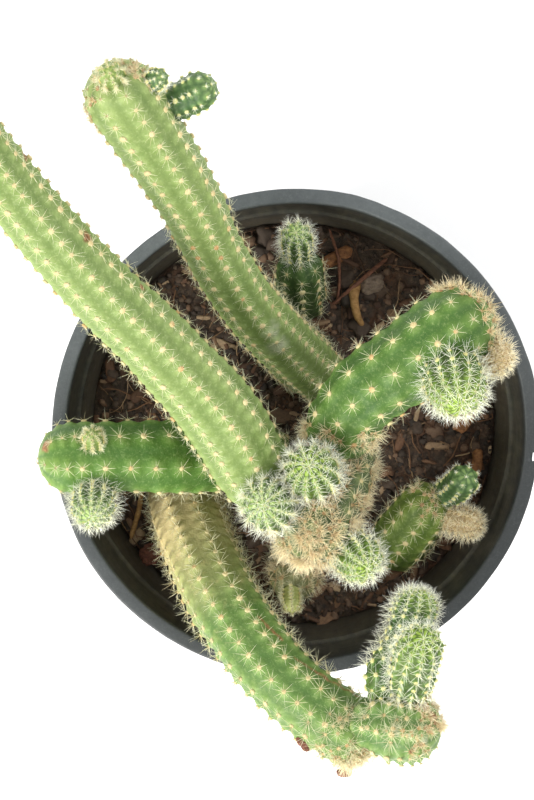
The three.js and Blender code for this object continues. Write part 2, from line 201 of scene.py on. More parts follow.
def lumps(points, size, seed=0):
    """Smooth noise from -1 to 1 at each point, with lumps about that size."""
    spread = points / size + seed * 13.7
    cell = np.floor(spread).astype(np.int64)
    part = spread - cell
    part = part * part * (3 - 2 * part)
    total = np.zeros(len(points))
    for corner in itertools.product((0, 1), repeat=3):
        key = (cell + corner) @ np.array([374761393, 668265263, 1274126177]) & 0xFFFFFFFF
        key = ((key ^ (key >> 13)) * 1103515245) & 0xFFFFFFFF
        key = ((key ^ (key >> 16)) * 69069) & 0xFFFFFFFF
        value = (key ^ (key >> 15)) / 2**31 - 1
        weight = np.prod(np.where(corner, part, 1 - part), axis=1)
        total += weight * value
    return total


def unit(vectors):
    return vectors / np.maximum(np.linalg.norm(vectors, axis=-1, keepdims=True), 1e-9)


# Meshes

def add_mesh(name, points, faces, materials, uv=None, marks=None, face_material=None, replaces=(), smooth=True):
    """A smooth piece from points in mm and lists of faces, riding with the pot."""
    mesh = bpy.data.meshes.new(name)
    mesh.vertices.add(len(points))
    mesh.vertices.foreach_set("co", (np.asarray(points) * MM).astype(np.float32).ravel())
    corners = np.concatenate([f.ravel() for f in faces]).astype(np.int32)
    sizes = np.concatenate([np.full(len(f), f.shape[1]) for f in faces])
    mesh.loops.add(len(corners))
    mesh.loops.foreach_set("vertex_index", corners)
    mesh.polygons.add(len(sizes))
    mesh.polygons.foreach_set("loop_start", (np.cumsum(sizes) - sizes).astype(np.int32))
    if uv is not None:
        layer = mesh.uv_layers.new(name="OFBake")
        layer.data.foreach_set("uv", np.concatenate([u.reshape(-1, 2) for u in uv]).astype(np.float32).ravel())
    for key, values in (marks or {}).items():
        mesh.attributes.new(key, "FLOAT", "POINT").data.foreach_set("value", values.astype(np.float32))
    for material in materials:
        mesh.materials.append(material)
    if face_material is not None:
        mesh.polygons.foreach_set("material_index", np.concatenate(face_material).astype(np.int32))
    mesh.update(calc_edges=True)
    mesh.validate()
    if smooth:
        mesh.shade_smooth()
    piece = bpy.data.objects.new(name, mesh)
    bpy.context.scene.collection.objects.link(piece)
    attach(piece, "root")
    if replaces:
        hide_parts(*replaces)
    return piece


def tube_faces(rings, around):
    """The quads between rings of points, each ring closed."""
    ring, i = np.meshgrid(np.arange(rings - 1), np.arange(around), indexing="ij")
    after = (i + 1) % around
    low = ring * around
    return np.stack([low + i, low + after, low + around + after, low + around + i], -1).reshape(-1, 4)


def ball(subdivisions):
    """The points and triangles of a round ball of radius 1."""
    shape = bmesh.new()
    bmesh.ops.create_icosphere(shape, subdivisions=subdivisions, radius=1)
    points = np.array([v.co[:] for v in shape.verts])
    faces = np.array([[v.index for v in f.verts] for f in shape.faces])
    shape.free()
    return points, faces


# Centrelines

def catmull_rom(axis, steps=60):
    """Points on the centripetal Catmull-Rom curve through the axis points."""
    points = np.array(axis, float)
    points = np.vstack([2 * points[0] - points[1], points, 2 * points[-1] - points[-2]])
    t = np.linspace(0, 1, steps, endpoint=False)[:, None]
    line = []
    for a, b, c, d in zip(points, points[1:], points[2:], points[3:]):
        before, here, after = (math.sqrt(np.linalg.norm(q - p)) for p, q in ((a, b), (b, c), (c, d)))
        leave = ((b - a) / before - (c - a) / (before + here) + (c - b) / here) * here
        arrive = ((c - b) / here - (d - b) / (here + after) + (d - c) / after) * here
        line.append(
            (2 * t**3 - 3 * t**2 + 1) * b + (t**3 - 2 * t**2 + t) * leave
            + (3 * t**2 - 2 * t**3) * c + (t**3 - t**2) * arrive
        )
    return np.vstack(line + [points[-2][None]])


def even_line(points, step):
    """The line's points again at even steps, and the distance along it to each."""
    place = np.concatenate([[0], np.cumsum(np.linalg.norm(np.diff(points, axis=0), axis=1))])
    distance = np.linspace(0, place[-1], max(int(place[-1] / step), 8) + 1)
    return distance, np.stack([np.interp(distance, place, points[:, k]) for k in range(3)], 1)


def carried_frames(line):
    """Two directions across the line at each point, carried along without twist. The first faces up."""
    ahead = unit(np.gradient(line, axis=0))
    start = np.array([0, 0, 1.0]) if abs(ahead[0][2]) < 0.9 else np.array([0, 1.0, 0])
    side = unit(start - ahead[0] * (start @ ahead[0]))
    sides = [side]
    for direction in ahead[1:]:
        side = unit(side - direction * (side @ direction))
        sides.append(side)
    sides = np.array(sides)
    across = np.cross(ahead, sides)
    middle = len(line) * 2 // 3
    turn = math.atan2(across[middle][2], sides[middle][2])
    return sides * math.cos(turn) + across * math.sin(turn), across * math.cos(turn) - sides * math.sin(turn)


class Skin:
    """A stem's surface: a point for each distance along its centreline and turn about it."""

    def __init__(self, name, facts):
        self.name, self.facts = name, facts
        self.distance, self.line = even_line(catmull_rom(facts["axis"]), LINE_STEP)
        self.length = self.distance[-1]
        self.side, self.across = carried_frames(self.line)
        share = self.distance / self.length * (len(facts["radii"]) - 1)
        radius = np.interp(share, np.arange(len(facts["radii"])), facts["radii"])
        window = np.hanning(25)
        padded = np.pad(radius, 12, mode="edge")
        self.radius = np.convolve(padded, window / window.sum(), mode="valid")
        self.tip = facts["radii"][-1]
        self.body = self.length - self.tip
        self.ribs = facts["ribs"]
        self.stagger = (self.ribs // 2) / self.ribs
        grown = facts["spines"] in ("mature", "slender", "bristly")
        crowd = facts.get("crowd", 0.85 if grown else 0.5)
        closing = np.clip((self.length - self.distance) / (1.6 * self.tip), crowd, 1)
        if not grown:
            closing = closing * np.clip(self.width(self.distance)[1], 0.45, 1)
        rows = np.concatenate([[0], np.cumsum(LINE_STEP / (facts["step"] * closing))[:-1]])
        self.rows = rows
        self.ridge, self.height = (0.3, 0.062) if grown else (0.05, 0.1)
        self.height = facts.get("height", self.height)
        self.between = 0.35 if grown else 0.06
        self.phase = math.radians(facts.get("phase", 0))
        self.seed = zlib.crc32(name.encode()) % 97
        self.twist = facts.get("twist", 0.002)

    def width(self, s):
        """The radius at a distance, with the neck at a side shoot's base and the dome at the tip."""
        radius = np.interp(s, self.distance, self.radius)
        if not self.facts["rooted"]:
            radius = radius * (NECK + (1 - NECK) * np.clip(s / self.tip, 0, 1))
        dome = np.sqrt(np.clip(1 - (np.clip(s - self.body, 0, None) / self.tip) ** 2, 0, 1))
        return radius, dome

    def relief(self, s, turn):
        """How near the skin is to a rib's crest, and to the top of a tubercle, from 0 to 1 each."""
        rib = (turn - self.phase - self.twist * s) * self.ribs / (2 * np.pi)
        nearest = np.round(rib)
        crest = np.cos(np.pi * (rib - nearest)) ** 2
        row = np.interp(s, self.distance, self.rows) - self.stagger * np.mod(nearest, self.ribs)
        past = row - np.round(row)
        slope = np.cos(np.pi * past)
        hump = np.where(past < 0, slope**1.2, slope**2.6)
        return crest, hump

    def points(self, s, turn, bare=False):
        """Points on the skin in mm."""
        radius, dome = self.width(s)
        crest, hump = self.relief(s, turn)
        height = self.height * radius * dome
        rise = height * (crest * (self.ridge + 1.05 * hump) - self.ridge)
        out = np.cos(turn)[:, None] * self.pick(self.side, s) + np.sin(turn)[:, None] * self.pick(self.across, s)
        centre = self.pick(self.line, s)
        plain = centre + out * (radius * dome)[:, None]
        wander = SWELL * radius * lumps(plain, 7.0, self.seed) * dome
        fine = 0.07 * lumps(plain, 1.1, self.seed + 1) + 0.035 * lumps(plain, 0.5, self.seed + 2)
        return plain + out * (rise + wander + (0 if bare else fine))[:, None]

    def pick(self, table, s):
        return np.stack([np.interp(s, self.distance, table[:, k]) for k in range(3)], 1)

    def outward(self, s, turn):
        """The skin's outward direction."""
        small = 0.12
        along = self.points(s + small, turn, True) - self.points(s - small, turn, True)
        radius, dome = self.width(s)
        swing = small / np.maximum(radius * dome, 0.4)
        around = self.points(s, turn + swing, True) - self.points(s, turn - swing, True)
        return unit(np.cross(around, along))

    def areoles(self):
        """The distance and turn of each areole, from the base to the tip."""
        found = []
        for rib in range(self.ribs):
            shift = self.stagger * rib
            first, last = math.ceil(self.rows[0] - shift), math.floor(self.rows[-1] - shift)
            rows = np.arange(first, last + 1) + shift
            s = np.interp(rows, self.rows, self.distance)
            turn = rib * 2 * np.pi / self.ribs + self.twist * s + self.phase
            found.append(np.stack([s, turn], 1))
        found = np.vstack(found)
        radius, dome = self.width(found[:, 0])
        rib = np.round((found[:, 1] - self.phase - self.twist * found[:, 0]) * self.ribs / (2 * np.pi))
        narrow = np.where(np.mod(rib, 2) == 0, 0.75, 0.42 * self.tip)
        keep = (radius * dome > narrow) & (found[:, 0] > 0.35 * self.tip)
        return np.vstack([found[keep], [[self.length - 0.02, 0.0]]])


def near_cracks(points, skin, cracks, width=0.28):
    """How much each point lies in a crack, each given as distance and turn in degrees at its two ends."""
    found = np.zeros(len(points))
    for s0, turn0, s1, turn1 in cracks or []:
        steps = np.linspace(0, 1, 24)
        middle = skin.points(s0 + (s1 - s0) * steps, np.radians(turn0 + (turn1 - turn0) * steps))
        gap = np.min(np.linalg.norm(points[:, None] - middle[None], axis=2), axis=1)
        gap = gap + 0.16 * lumps(points, 0.9, 8)
        found = np.maximum(found, np.clip(1.6 - gap / width, 0, 1))
    return found


def near_spots(points, skin, spots, softness=0.35):
    """How much each point lies in one of the spots, each given as distance, turn in degrees and radius."""
    if not spots:
        return np.zeros(len(points))
    found = np.zeros(len(points))
    for s, turn, radius in spots:
        centre = skin.points(np.array([float(s)]), np.array([math.radians(turn)]))[0]
        gap = np.linalg.norm(points - centre, axis=1) / radius
        gap = gap + 0.35 * lumps(points, radius * 0.7, 5)
        found = np.maximum(found, np.clip((1 - gap) / softness, 0, 1))
    return found


def add_skin(skin, material):
    """The stem's body, as rings of points and a point at each end."""
    facts = skin.facts
    widest = max(facts["radii"])
    grid = max(min(GRID, widest * 0.075), 0.16)
    around = int(2 * math.pi * widest / grid)
    flat = np.linspace(0, skin.body, max(int(skin.body / grid), 6), endpoint=False)
    dome = skin.body + skin.tip * np.sin(np.linspace(0, math.pi / 2, TIP_STEPS, endpoint=False))
    stations = np.concatenate([flat, dome])
    s, turn = (a.ravel() for a in np.meshgrid(
        stations, np.arange(around) * 2 * math.pi / around, indexing="ij"))
    points = skin.points(s, turn)
    crest, hump = skin.relief(s, turn)
    ends = skin.pick(skin.line, np.array([0.0, skin.length]))
    count = len(points)
    rings = len(stations)
    walls = tube_faces(rings, around)
    i = np.arange(around)
    after = (i + 1) % around
    base = np.stack([np.full(around, count), after, i], 1)
    last = (rings - 1) * around
    top = np.stack([np.full(around, count + 1), last + i, last + after], 1)
    everything = np.vstack([points, ends])
    old_base, old_all = facts.get("old", (0, 0))
    age = old_base * np.exp(-s / (0.2 * skin.length)) + old_all
    marks = {
        "relief": np.append(crest * (skin.between + (1 - skin.between) * hump), [0, 1]),
        "areole": np.append(crest**3 * hump**4, [0, 1]),
        "age": np.append(age, [old_base + old_all, old_all]),
        "young": np.append(np.exp(-(skin.length - s) / (0.5 * skin.tip)), [0, 1]),
        "scar": near_spots(everything, skin, facts.get("scars")) + near_cracks(everything, skin, facts.get("cracks")),
        "cork": near_spots(everything, skin, facts.get("corky"), 0.8),
    }
    u = stations / skin.length * 0.98 + 0.01
    v = np.arange(around + 1) / around * 0.98 + 0.01
    ring, column = walls[:, 0] // around, walls[:, 0] % around
    wall_uv = np.stack([
        np.stack([u[ring], v[column]], 1), np.stack([u[ring], v[column + 1]], 1),
        np.stack([u[ring + 1], v[column + 1]], 1), np.stack([u[ring + 1], v[column]], 1),
    ], 1)
    middle = (v[i] + v[i + 1]) / 2
    base_uv = np.stack([
        np.stack([np.full(around, 0.002), middle], 1), np.stack([np.full(around, u[0]), v[i + 1]], 1),
        np.stack([np.full(around, u[0]), v[i]], 1),
    ], 1)
    top_uv = np.stack([
        np.stack([np.full(around, 0.998), middle], 1), np.stack([np.full(around, u[-1]), v[i]], 1),
        np.stack([np.full(around, u[-1]), v[i + 1]], 1),
    ], 1)
    return add_mesh(
        skin.name + "_skin", everything, [walls, base, top], [material],
        [wall_uv, base_uv, top_uv], marks, replaces=[skin.name],
    )


# Spines and wool

def spine_mesh(roots, directions, lengths, widths, bends, tints):
    """Curved three-sided spines: points, quads, triangles, and where each point lies on the colour map."""
    count = len(roots)
    helper = np.where(np.abs(directions[:, 2:]) < 0.9, [[0, 0, 1.0]], [[1.0, 0, 0]])
    across = unit(np.cross(directions, helper))
    up = np.cross(directions, across)
    stops = np.array([0, 0.4, 0.75])
    slim = np.array([1, 0.74, 0.42])
    corner = np.arange(3) * 2 * math.pi / 3
    points = np.zeros((count, 10, 3))
    maps = np.zeros((count, 10, 2))
    for ring, (t, share) in enumerate(zip(stops, slim)):
        centre = roots + directions * (lengths * t)[:, None] + bends * (lengths * t * t)[:, None]
        for k, angle in enumerate(corner):
            out = across * math.cos(angle) + up * math.sin(angle)
            points[:, ring * 3 + k] = centre + out * (widths * share)[:, None]
            maps[:, ring * 3 + k] = np.stack([np.full(count, 0.02 + 0.96 * t), tints + 0.004 * k], 1)
    points[:, 9] = roots + (directions + bends) * lengths[:, None]
    maps[:, 9] = np.stack([np.full(count, 0.98), tints + 0.004], 1)
    quads = np.vstack([tube_faces(3, 3)])
    tris = np.array([[6, 7, 9], [7, 8, 9], [8, 6, 9], [2, 1, 0]])
    offset = (np.arange(count) * 10)[:, None, None]
    return points.reshape(-1, 3), (quads + offset).reshape(-1, 4), (tris + offset).reshape(-1, 3), maps.reshape(-1, 2)


def wool_mesh(centres, normals, sizes, tints, seed):
    """A flattened, lumpy tuft of wool at each areole."""
    shape, faces = ball(2)
    count = len(centres)
    helper = np.where(np.abs(normals[:, 2:]) < 0.9, [[0, 0, 1.0]], [[1.0, 0, 0]])
    across = unit(np.cross(normals, helper))
    up = np.cross(normals, across)
    ripple = 1 + 0.24 * lumps(shape[None] .repeat(count, 0).reshape(-1, 3) + np.repeat(centres, len(shape), 0) * 3, 0.5, seed)
    local = shape[None] * sizes[:, None, None] * ripple.reshape(count, -1, 1)
    points = (
        centres[:, None] + across[:, None] * local[..., :1] + up[:, None] * local[..., 1:2]
        + normals[:, None] * local[..., 2:] * 0.5
    )
    tris = (faces[None] + (np.arange(count) * len(shape))[:, None, None]).reshape(-1, 3)
    maps = np.stack([
        np.tile(0.5 + 0.45 * shape[:, 0], count),
        0.86 + 0.09 * np.repeat(tints, len(shape)) + np.tile(0.02 * shape[:, 1], count),
    ], 1)
    return points.reshape(-1, 3), tris, maps


def spine_directions(rng, normals, ahead, style):
    """Around each outward direction, a ring of leaning spines and a few that stand out."""
    count = style["count"] + style["centre"]
    lean = np.radians(rng.uniform(*style["lean"], (len(normals), count)))
    lean[:, style["count"]:] = np.radians(rng.uniform(4, 30, (len(normals), style["centre"])))
    turn = (np.arange(count) + rng.uniform(-0.32, 0.32, (len(normals), count))) * 2 * math.pi / style["count"]
    turn += rng.uniform(0, 2 * math.pi, (len(normals), 1))
    side = unit(ahead - normals * np.sum(ahead * normals, 1, keepdims=True))
    across = np.cross(normals, side)
    flat = np.cos(turn)[..., None] * side[:, None] + np.sin(turn)[..., None] * across[:, None]
    return unit(normals[:, None] * np.cos(lean)[..., None] + flat * np.sin(lean)[..., None]), flat


def add_spines(skin, wool, spine):
    """The wool and spines of every areole on a stem, as one piece."""
    style = SPINES[skin.facts["spines"]]
    rng = chance(skin.name + " spines")
    places = skin.areoles()
    s, turn = places[:, 0], places[:, 1]
    centres = skin.points(s, turn)
    normals = skin.outward(np.minimum(s, skin.length - 0.3), turn)
    ahead = skin.pick(np.gradient(skin.line, axis=0), s)
    normals[-1] = unit(ahead[-1])
    ahead[-1] = skin.side[-1]
    near_tip = np.clip((skin.length - s) / (1.4 * skin.tip), 0.45, 1)
    directions, flat = spine_directions(rng, normals, unit(ahead), style)
    per = directions.shape[1]
    lengths = rng.uniform(*style["length"], (len(s), per)) * (0.45 + 0.55 * near_tip)[:, None]
    lengths *= rng.uniform(0.8, 1.12, (len(s), 1))
    bends = flat * rng.uniform(-0.04, 0.1, (len(s), per, 1)) + normals[:, None] * rng.uniform(-0.05, 0.12, (len(s), per, 1))
    tints = np.clip(rng.uniform(0, 0.7, (len(s), per)) + rng.uniform(-0.2, 0.3, (len(s), 1)), 0, 1) * 0.8
    widths = np.full(len(s) * per, style["width"]) * rng.uniform(0.8, 1.2, len(s) * per)
    points, quads, tris, maps = spine_mesh(
        np.repeat(centres + normals * 0.1, per, 0), directions.reshape(-1, 3), lengths.ravel(),
        widths, bends.reshape(-1, 3), tints.ravel(),
    )
    wool_size = style["wool"] * near_tip * rng.uniform(0.8, 1.25, len(s))
    aged = np.where(rng.uniform(0, 1, len(s)) < 0.06, rng.uniform(0.6, 1, len(s)), rng.uniform(0, 0.45, len(s)))
    for spot in skin.facts.get("tan_wool", []):
        where = skin.points(np.array([float(spot[0])]), np.array([math.radians(spot[1])]))
        aged = np.where(np.linalg.norm(centres - where, axis=1) < spot[2], 1.0, aged)
    puffs, puff_tris, puff_maps = wool_mesh(centres + normals * 0.02, normals, wool_size, aged, skin.seed)
    join_spines(skin.name + "_spines", [wool, spine], puffs, puff_tris, puff_maps,
                points, quads, tris, maps)


def join_spines(name, materials, puffs, puff_tris, puff_maps, points, quads, tris, maps):
    """Puts the wool, in the first material, and the spines, in the second, into one piece."""
    start = len(puffs)
    all_maps = np.vstack([puff_maps, maps])
    quads, tris = quads + start, tris + start
    faces = [puff_tris, quads, tris]
    add_mesh(
        name, np.vstack([puffs, points]), faces, materials, [all_maps[f] for f in faces],
        face_material=[np.zeros(len(puff_tris)), np.ones(len(quads)), np.ones(len(tris))],
    )


def add_tuft(name, skin, spots, lengths, wool, spine, width=0.05):
    """Dried spines in many crowded stars, over spots given as distance, turn in degrees, radius and stars."""
    rng = chance(name)
    s, turn = [], []
    for distance, degrees, radius, count in spots:
        away = radius * np.sqrt(rng.uniform(0, 1, count))
        angle = rng.uniform(0, 2 * math.pi, count)
        girth = skin.width(np.array([float(distance)]))
        girth = max(float(girth[0][0] * girth[1][0]), 1.5)
        s.append(np.clip(distance + away * np.cos(angle), 0.5, skin.length - 0.05))
        turn.append(math.radians(degrees) + away * np.sin(angle) / girth)
    s, turn = np.concatenate(s), np.concatenate(turn)
    centres = skin.points(s, turn)
    normals = skin.outward(np.minimum(s, skin.length - 0.3), turn)
    style = dict(count=11, centre=3, lean=(30, 80))
    ahead = skin.pick(np.gradient(skin.line, axis=0), s)
    directions, flat = spine_directions(rng, normals, unit(ahead), style)
    per = directions.shape[1]
    size = rng.uniform(*lengths, (len(s), per)) * rng.uniform(0.7, 1.15, (len(s), 1))
    bends = rng.normal(0, 0.13, (len(s), per, 3))
    tints = np.clip(rng.uniform(0, 0.6, (len(s), per)) + rng.uniform(-0.3, 0.45, (len(s), 1)), 0, 1) * 0.8
    points, quads, tris, maps = spine_mesh(
        np.repeat(centres, per, 0), directions.reshape(-1, 3), size.ravel(),
        width * rng.uniform(0.8, 1.3, len(s) * per), bends.reshape(-1, 3), tints.ravel(),
    )
    puffs, puff_tris, puff_maps = wool_mesh(
        centres, normals, rng.uniform(0.25, 0.5, len(s)), rng.uniform(0, 1, len(s)), 3)
    join_spines(name, [wool, spine], puffs, puff_tris, puff_maps, points, quads, tris, maps)


# Materials

class Nodes:
    """Short names for building one material's nodes."""

    def __init__(self, name):
        self.material = bpy.data.materials.new(name)
        self.material.use_nodes = True
        self.tree = self.material.node_tree
        self.shader = self.tree.nodes["Principled BSDF"]
        self.place = self.tree.nodes.new("ShaderNodeTexCoord").outputs["Object"]

    def set(self, **values):
        for key, value in values.items():
            self.shader.inputs[key.replace("_", " ")].default_value = value

    def link(self, source, socket):
        self.tree.links.new(source, socket)

    def mark(self, name):
        node = self.tree.nodes.new("ShaderNodeAttribute")
        node.attribute_name = name
        return node.outputs["Fac"]

    def noise(self, size_mm, detail=4, roughness=0.6, stretch=(1, 1, 1)):
        """Noise with patches about that size."""
        mapping = self.tree.nodes.new("ShaderNodeMapping")
        mapping.inputs["Scale"].default_value = [k / (size_mm * MM) for k in stretch]
        self.link(self.place, mapping.inputs["Vector"])
        node = self.tree.nodes.new("ShaderNodeTexNoise")
        node.inputs["Scale"].default_value = 1
        node.inputs["Detail"].default_value = detail
        node.inputs["Roughness"].default_value = roughness
        self.link(mapping.outputs[0], node.inputs["Vector"])
        return node.outputs["Fac"]

    def height(self):
        """The height from 0 at the pot's foot to 1 at its lip."""
        split = self.tree.nodes.new("ShaderNodeSeparateXYZ")
        self.link(self.place, split.inputs[0])
        return self.math("DIVIDE", split.outputs[2], POT_HEIGHT * MM)

    def toward(self, x, y):
        """From 0 to 1 across the pot, in the direction given."""
        split = self.tree.nodes.new("ShaderNodeSeparateXYZ")
        self.link(self.place, split.inputs[0])
        reach = 2 * RIM_RADIUS * MM
        part = self.math("ADD", self.math("MULTIPLY", split.outputs[0], x), self.math("MULTIPLY", split.outputs[1], y))
        return self.math("ADD", self.math("DIVIDE", part, reach), 0.5)

    def cells(self, size_mm, feature="F1"):
        mapping = self.tree.nodes.new("ShaderNodeMapping")
        mapping.inputs["Scale"].default_value = [1 / (size_mm * MM)] * 3
        self.link(self.place, mapping.inputs["Vector"])
        node = self.tree.nodes.new("ShaderNodeTexVoronoi")
        node.feature = feature
        node.inputs["Scale"].default_value = 1
        self.link(mapping.outputs[0], node.inputs["Vector"])
        return node.outputs["Distance"]

    def ramp(self, source, *stops):
        """Colours or values at places from 0 to 1."""
        node = self.tree.nodes.new("ShaderNodeValToRGB")
        while len(node.color_ramp.elements) < len(stops):
            node.color_ramp.elements.new(0.5)
        for element, (place, colour) in zip(node.color_ramp.elements, stops):
            element.position = place
            element.color = (*colour, 1) if isinstance(colour, tuple) else (colour, colour, colour, 1)
        self.link(source, node.inputs["Fac"])
        return node.outputs["Color"]

    def math(self, kind, a, b):
        node = self.tree.nodes.new("ShaderNodeMath")
        node.operation = kind
        node.use_clamp = True
        for value, socket in ((a, node.inputs[0]), (b, node.inputs[1])):
            if isinstance(value, (int, float)):
                socket.default_value = value
            else:
                self.link(value, socket)
        return node.outputs[0]

    def mix(self, share, a, b, kind="MIX"):
        node = self.tree.nodes.new("ShaderNodeMix")
        node.data_type = "RGBA"
        node.blend_type = kind
        for value, socket in ((share, node.inputs[0]), (a, node.inputs[6]), (b, node.inputs[7])):
            if isinstance(value, tuple):
                socket.default_value = (*value, 1)
            elif isinstance(value, (int, float)):
                socket.default_value = value
            else:
                self.link(value, socket)
        return node.outputs[2]

    def bump(self, source, height_mm, below=None):
        node = self.tree.nodes.new("ShaderNodeBump")
        node.inputs["Strength"].default_value = 1
        node.inputs["Distance"].default_value = height_mm * MM
        self.link(source, node.inputs["Height"])
        if below is not None:
            self.link(below, node.inputs["Normal"])
        return node.outputs["Normal"]

    def finish(self, colour, roughness, normal=None):
        self.link(colour, self.shader.inputs["Base Color"])
        self.link(roughness, self.shader.inputs["Roughness"])
        if normal is not None:
            self.link(normal, self.shader.inputs["Normal"])
        return self.material


def skin_material(name, furrow, flesh, crest, young, cork=(0.36, 0.27, 0.13), pale=0.5):
    """Waxy green skin: darker in the furrows with painted shade and paler on the crests with a painted highlight, paler
    at the areoles, yellow-green at the tip, corky with age.
    """
    n = Nodes(name)
    patches = n.noise(9, 3)
    mottle = n.noise(1.6, 5, 0.65)
    speck = n.cells(0.42)
    # Painted shade and highlight: by the relief mark, the colour runs from the dark furrow green up to the pale crest
    # green.
    relief = n.math("ADD", n.math("MULTIPLY", n.mark("relief"), 0.85), n.math("MULTIPLY", mottle, 0.22))
    colour = n.ramp(relief, (0.06, furrow), (0.5, flesh), (0.95, crest))
    colour = n.mix(n.ramp(patches, (0.35, 0.0), (0.7, 0.45)), colour, n.mix(0.55, colour, young))
    colour = n.mix(n.math("MULTIPLY", n.mark("areole"), pale), colour, (0.34, 0.38, 0.15))
    colour = n.mix(n.ramp(speck, (0.12, 0.3), (0.32, 0.0)), colour, n.mix(0.4, colour, (0.34, 0.42, 0.16)))
    fleck = n.noise(0.75, 5, 0.75)
    colour = n.mix(n.ramp(fleck, (0.34, 0.5), (0.48, 0.0)), colour, furrow)
    colour = n.mix(n.ramp(fleck, (0.52, 0.0), (0.68, 0.55)), colour, n.mix(0.35, crest, (0.45, 0.5, 0.25)))
    open_skin = n.ramp(n.mark("relief"), (0.02, 0.12), (0.35, 0.9))
    colour = n.mix(n.math("MULTIPLY", n.mark("young"), open_skin), colour, young)
    worn = n.math("ADD", n.mark("age"), n.math("SUBTRACT", n.noise(3.2, 5, 0.7), 0.52))
    worn = n.ramp(n.math("MULTIPLY", worn, n.ramp(n.mark("age"), (0.0, 0.0), (0.25, 1.0))), (0.12, 0.0), (0.75, 1.0))
    colour = n.mix(worn, colour, n.ramp(n.noise(0.9, 5, 0.7), (0.3, cork), (0.72, (0.62, 0.53, 0.27))))
    colour = n.mix(n.math("MULTIPLY", n.mark("cork"), n.ramp(n.noise(1.3, 5), (0.3, 0.15), (0.6, 0.75))), colour, (0.4, 0.42, 0.3))
    scar = n.math("MULTIPLY", n.mark("scar"), n.ramp(n.noise(0.8, 5, 0.7), (0.3, 0.55), (0.55, 1.0)))
    colour = n.mix(scar, colour, n.ramp(n.noise(0.6, 4), (0.35, (0.13, 0.05, 0.02)), (0.7, (0.4, 0.2, 0.09))))
    roughness = n.ramp(n.math("ADD", mottle, n.math("MULTIPLY", worn, 0.5)), (0.3, 0.4), (0.85, 0.72))
    grain = n.math("ADD", n.math("MULTIPLY", n.noise(0.5, 4), 0.7), n.math("MULTIPLY", speck, 0.4))
    wrinkle = n.math("MULTIPLY", n.noise(1.8, 5, 0.6), n.math("ADD", worn, 0.3))
    normal = n.bump(grain, 0.07, n.bump(wrinkle, 0.32))
    n.set(Subsurface_Weight=0.1, Subsurface_Radius=(0.6, 1.0, 0.2), Subsurface_Scale=0.0012, Specular_IOR_Level=0.25)
    return n.finish(colour, roughness, normal)


def spine_material(name, foot, shaft, point, stain):
    """Horny spines: darker at the foot, pale at the point, some stained."""
    n = Nodes(name)
    uv = n.tree.nodes.new("ShaderNodeUVMap")
    uv.uv_map = "OFBake"
    split = n.tree.nodes.new("ShaderNodeSeparateXYZ")
    n.link(uv.outputs[0], split.inputs[0])
    along, tint = split.outputs[0], split.outputs[1]
    clean = n.ramp(along, (0.0, foot), (0.22, shaft), (1.0, point))
    colour = n.mix(n.ramp(tint, (0.42, 0.0), (0.8, 0.85)), clean, stain)
    n.set(Subsurface_Weight=0.0, Specular_IOR_Level=0.45)
    return n.finish(colour, n.ramp(tint, (0.0, 0.38), (0.8, 0.6)))


def wool_material(name, fresh, stained, aged):
    n = Nodes(name)
    uv = n.tree.nodes.new("ShaderNodeUVMap")
    uv.uv_map = "OFBake"
    split = n.tree.nodes.new("ShaderNodeSeparateXYZ")
    n.link(uv.outputs[0], split.inputs[0])
    colour = n.ramp(split.outputs[1], (0.86, fresh), (0.905, stained), (0.95, aged))
    fuzz = n.noise(0.16, 4, 0.8)
    colour = n.mix(n.ramp(fuzz, (0.35, 0.35), (0.65, 0.0)), colour, stained)
    return n.finish(colour, n.ramp(fuzz, (0.0, 0.85), (1.0, 1.0)), n.bump(fuzz, 0.12))


GREEN = skin_material("skin_green", (0.045, 0.115, 0.02), (0.078, 0.17, 0.026), (0.12, 0.225, 0.045), (0.16, 0.25, 0.05))
DEEP = skin_material("skin_deep", (0.036, 0.09, 0.016), (0.064, 0.138, 0.022), (0.105, 0.19, 0.038), (0.12, 0.2, 0.04))
# A lit copy of the green skin, brighter and yellower: painted light, for the two tallest stems.
PAINTED_LIGHT_GREEN = skin_material("skin_sunned", (0.115, 0.175, 0.045), (0.195, 0.27, 0.082), (0.29, 0.365, 0.14), (0.28, 0.35, 0.12))
PALE = skin_material("skin_pale", (0.05, 0.115, 0.028), (0.095, 0.185, 0.042), (0.16, 0.26, 0.075), (0.19, 0.28, 0.08), (0.4, 0.3, 0.15))
SHADED = skin_material("skin_shaded", (0.02, 0.045, 0.012), (0.034, 0.075, 0.016), (0.06, 0.115, 0.028), (0.07, 0.12, 0.03))
OLIVE = skin_material("skin_olive", (0.05, 0.09, 0.015), (0.095, 0.155, 0.025), (0.16, 0.22, 0.045), (0.19, 0.24, 0.05))
OLD = skin_material("skin_old", (0.06, 0.125, 0.028), (0.11, 0.2, 0.045), (0.18, 0.28, 0.08), (0.2, 0.28, 0.07), (0.48, 0.38, 0.17))
DULL = skin_material("skin_dull", (0.03, 0.05, 0.016), (0.055, 0.085, 0.026), (0.1, 0.135, 0.045), (0.11, 0.14, 0.05), (0.22, 0.17, 0.08))
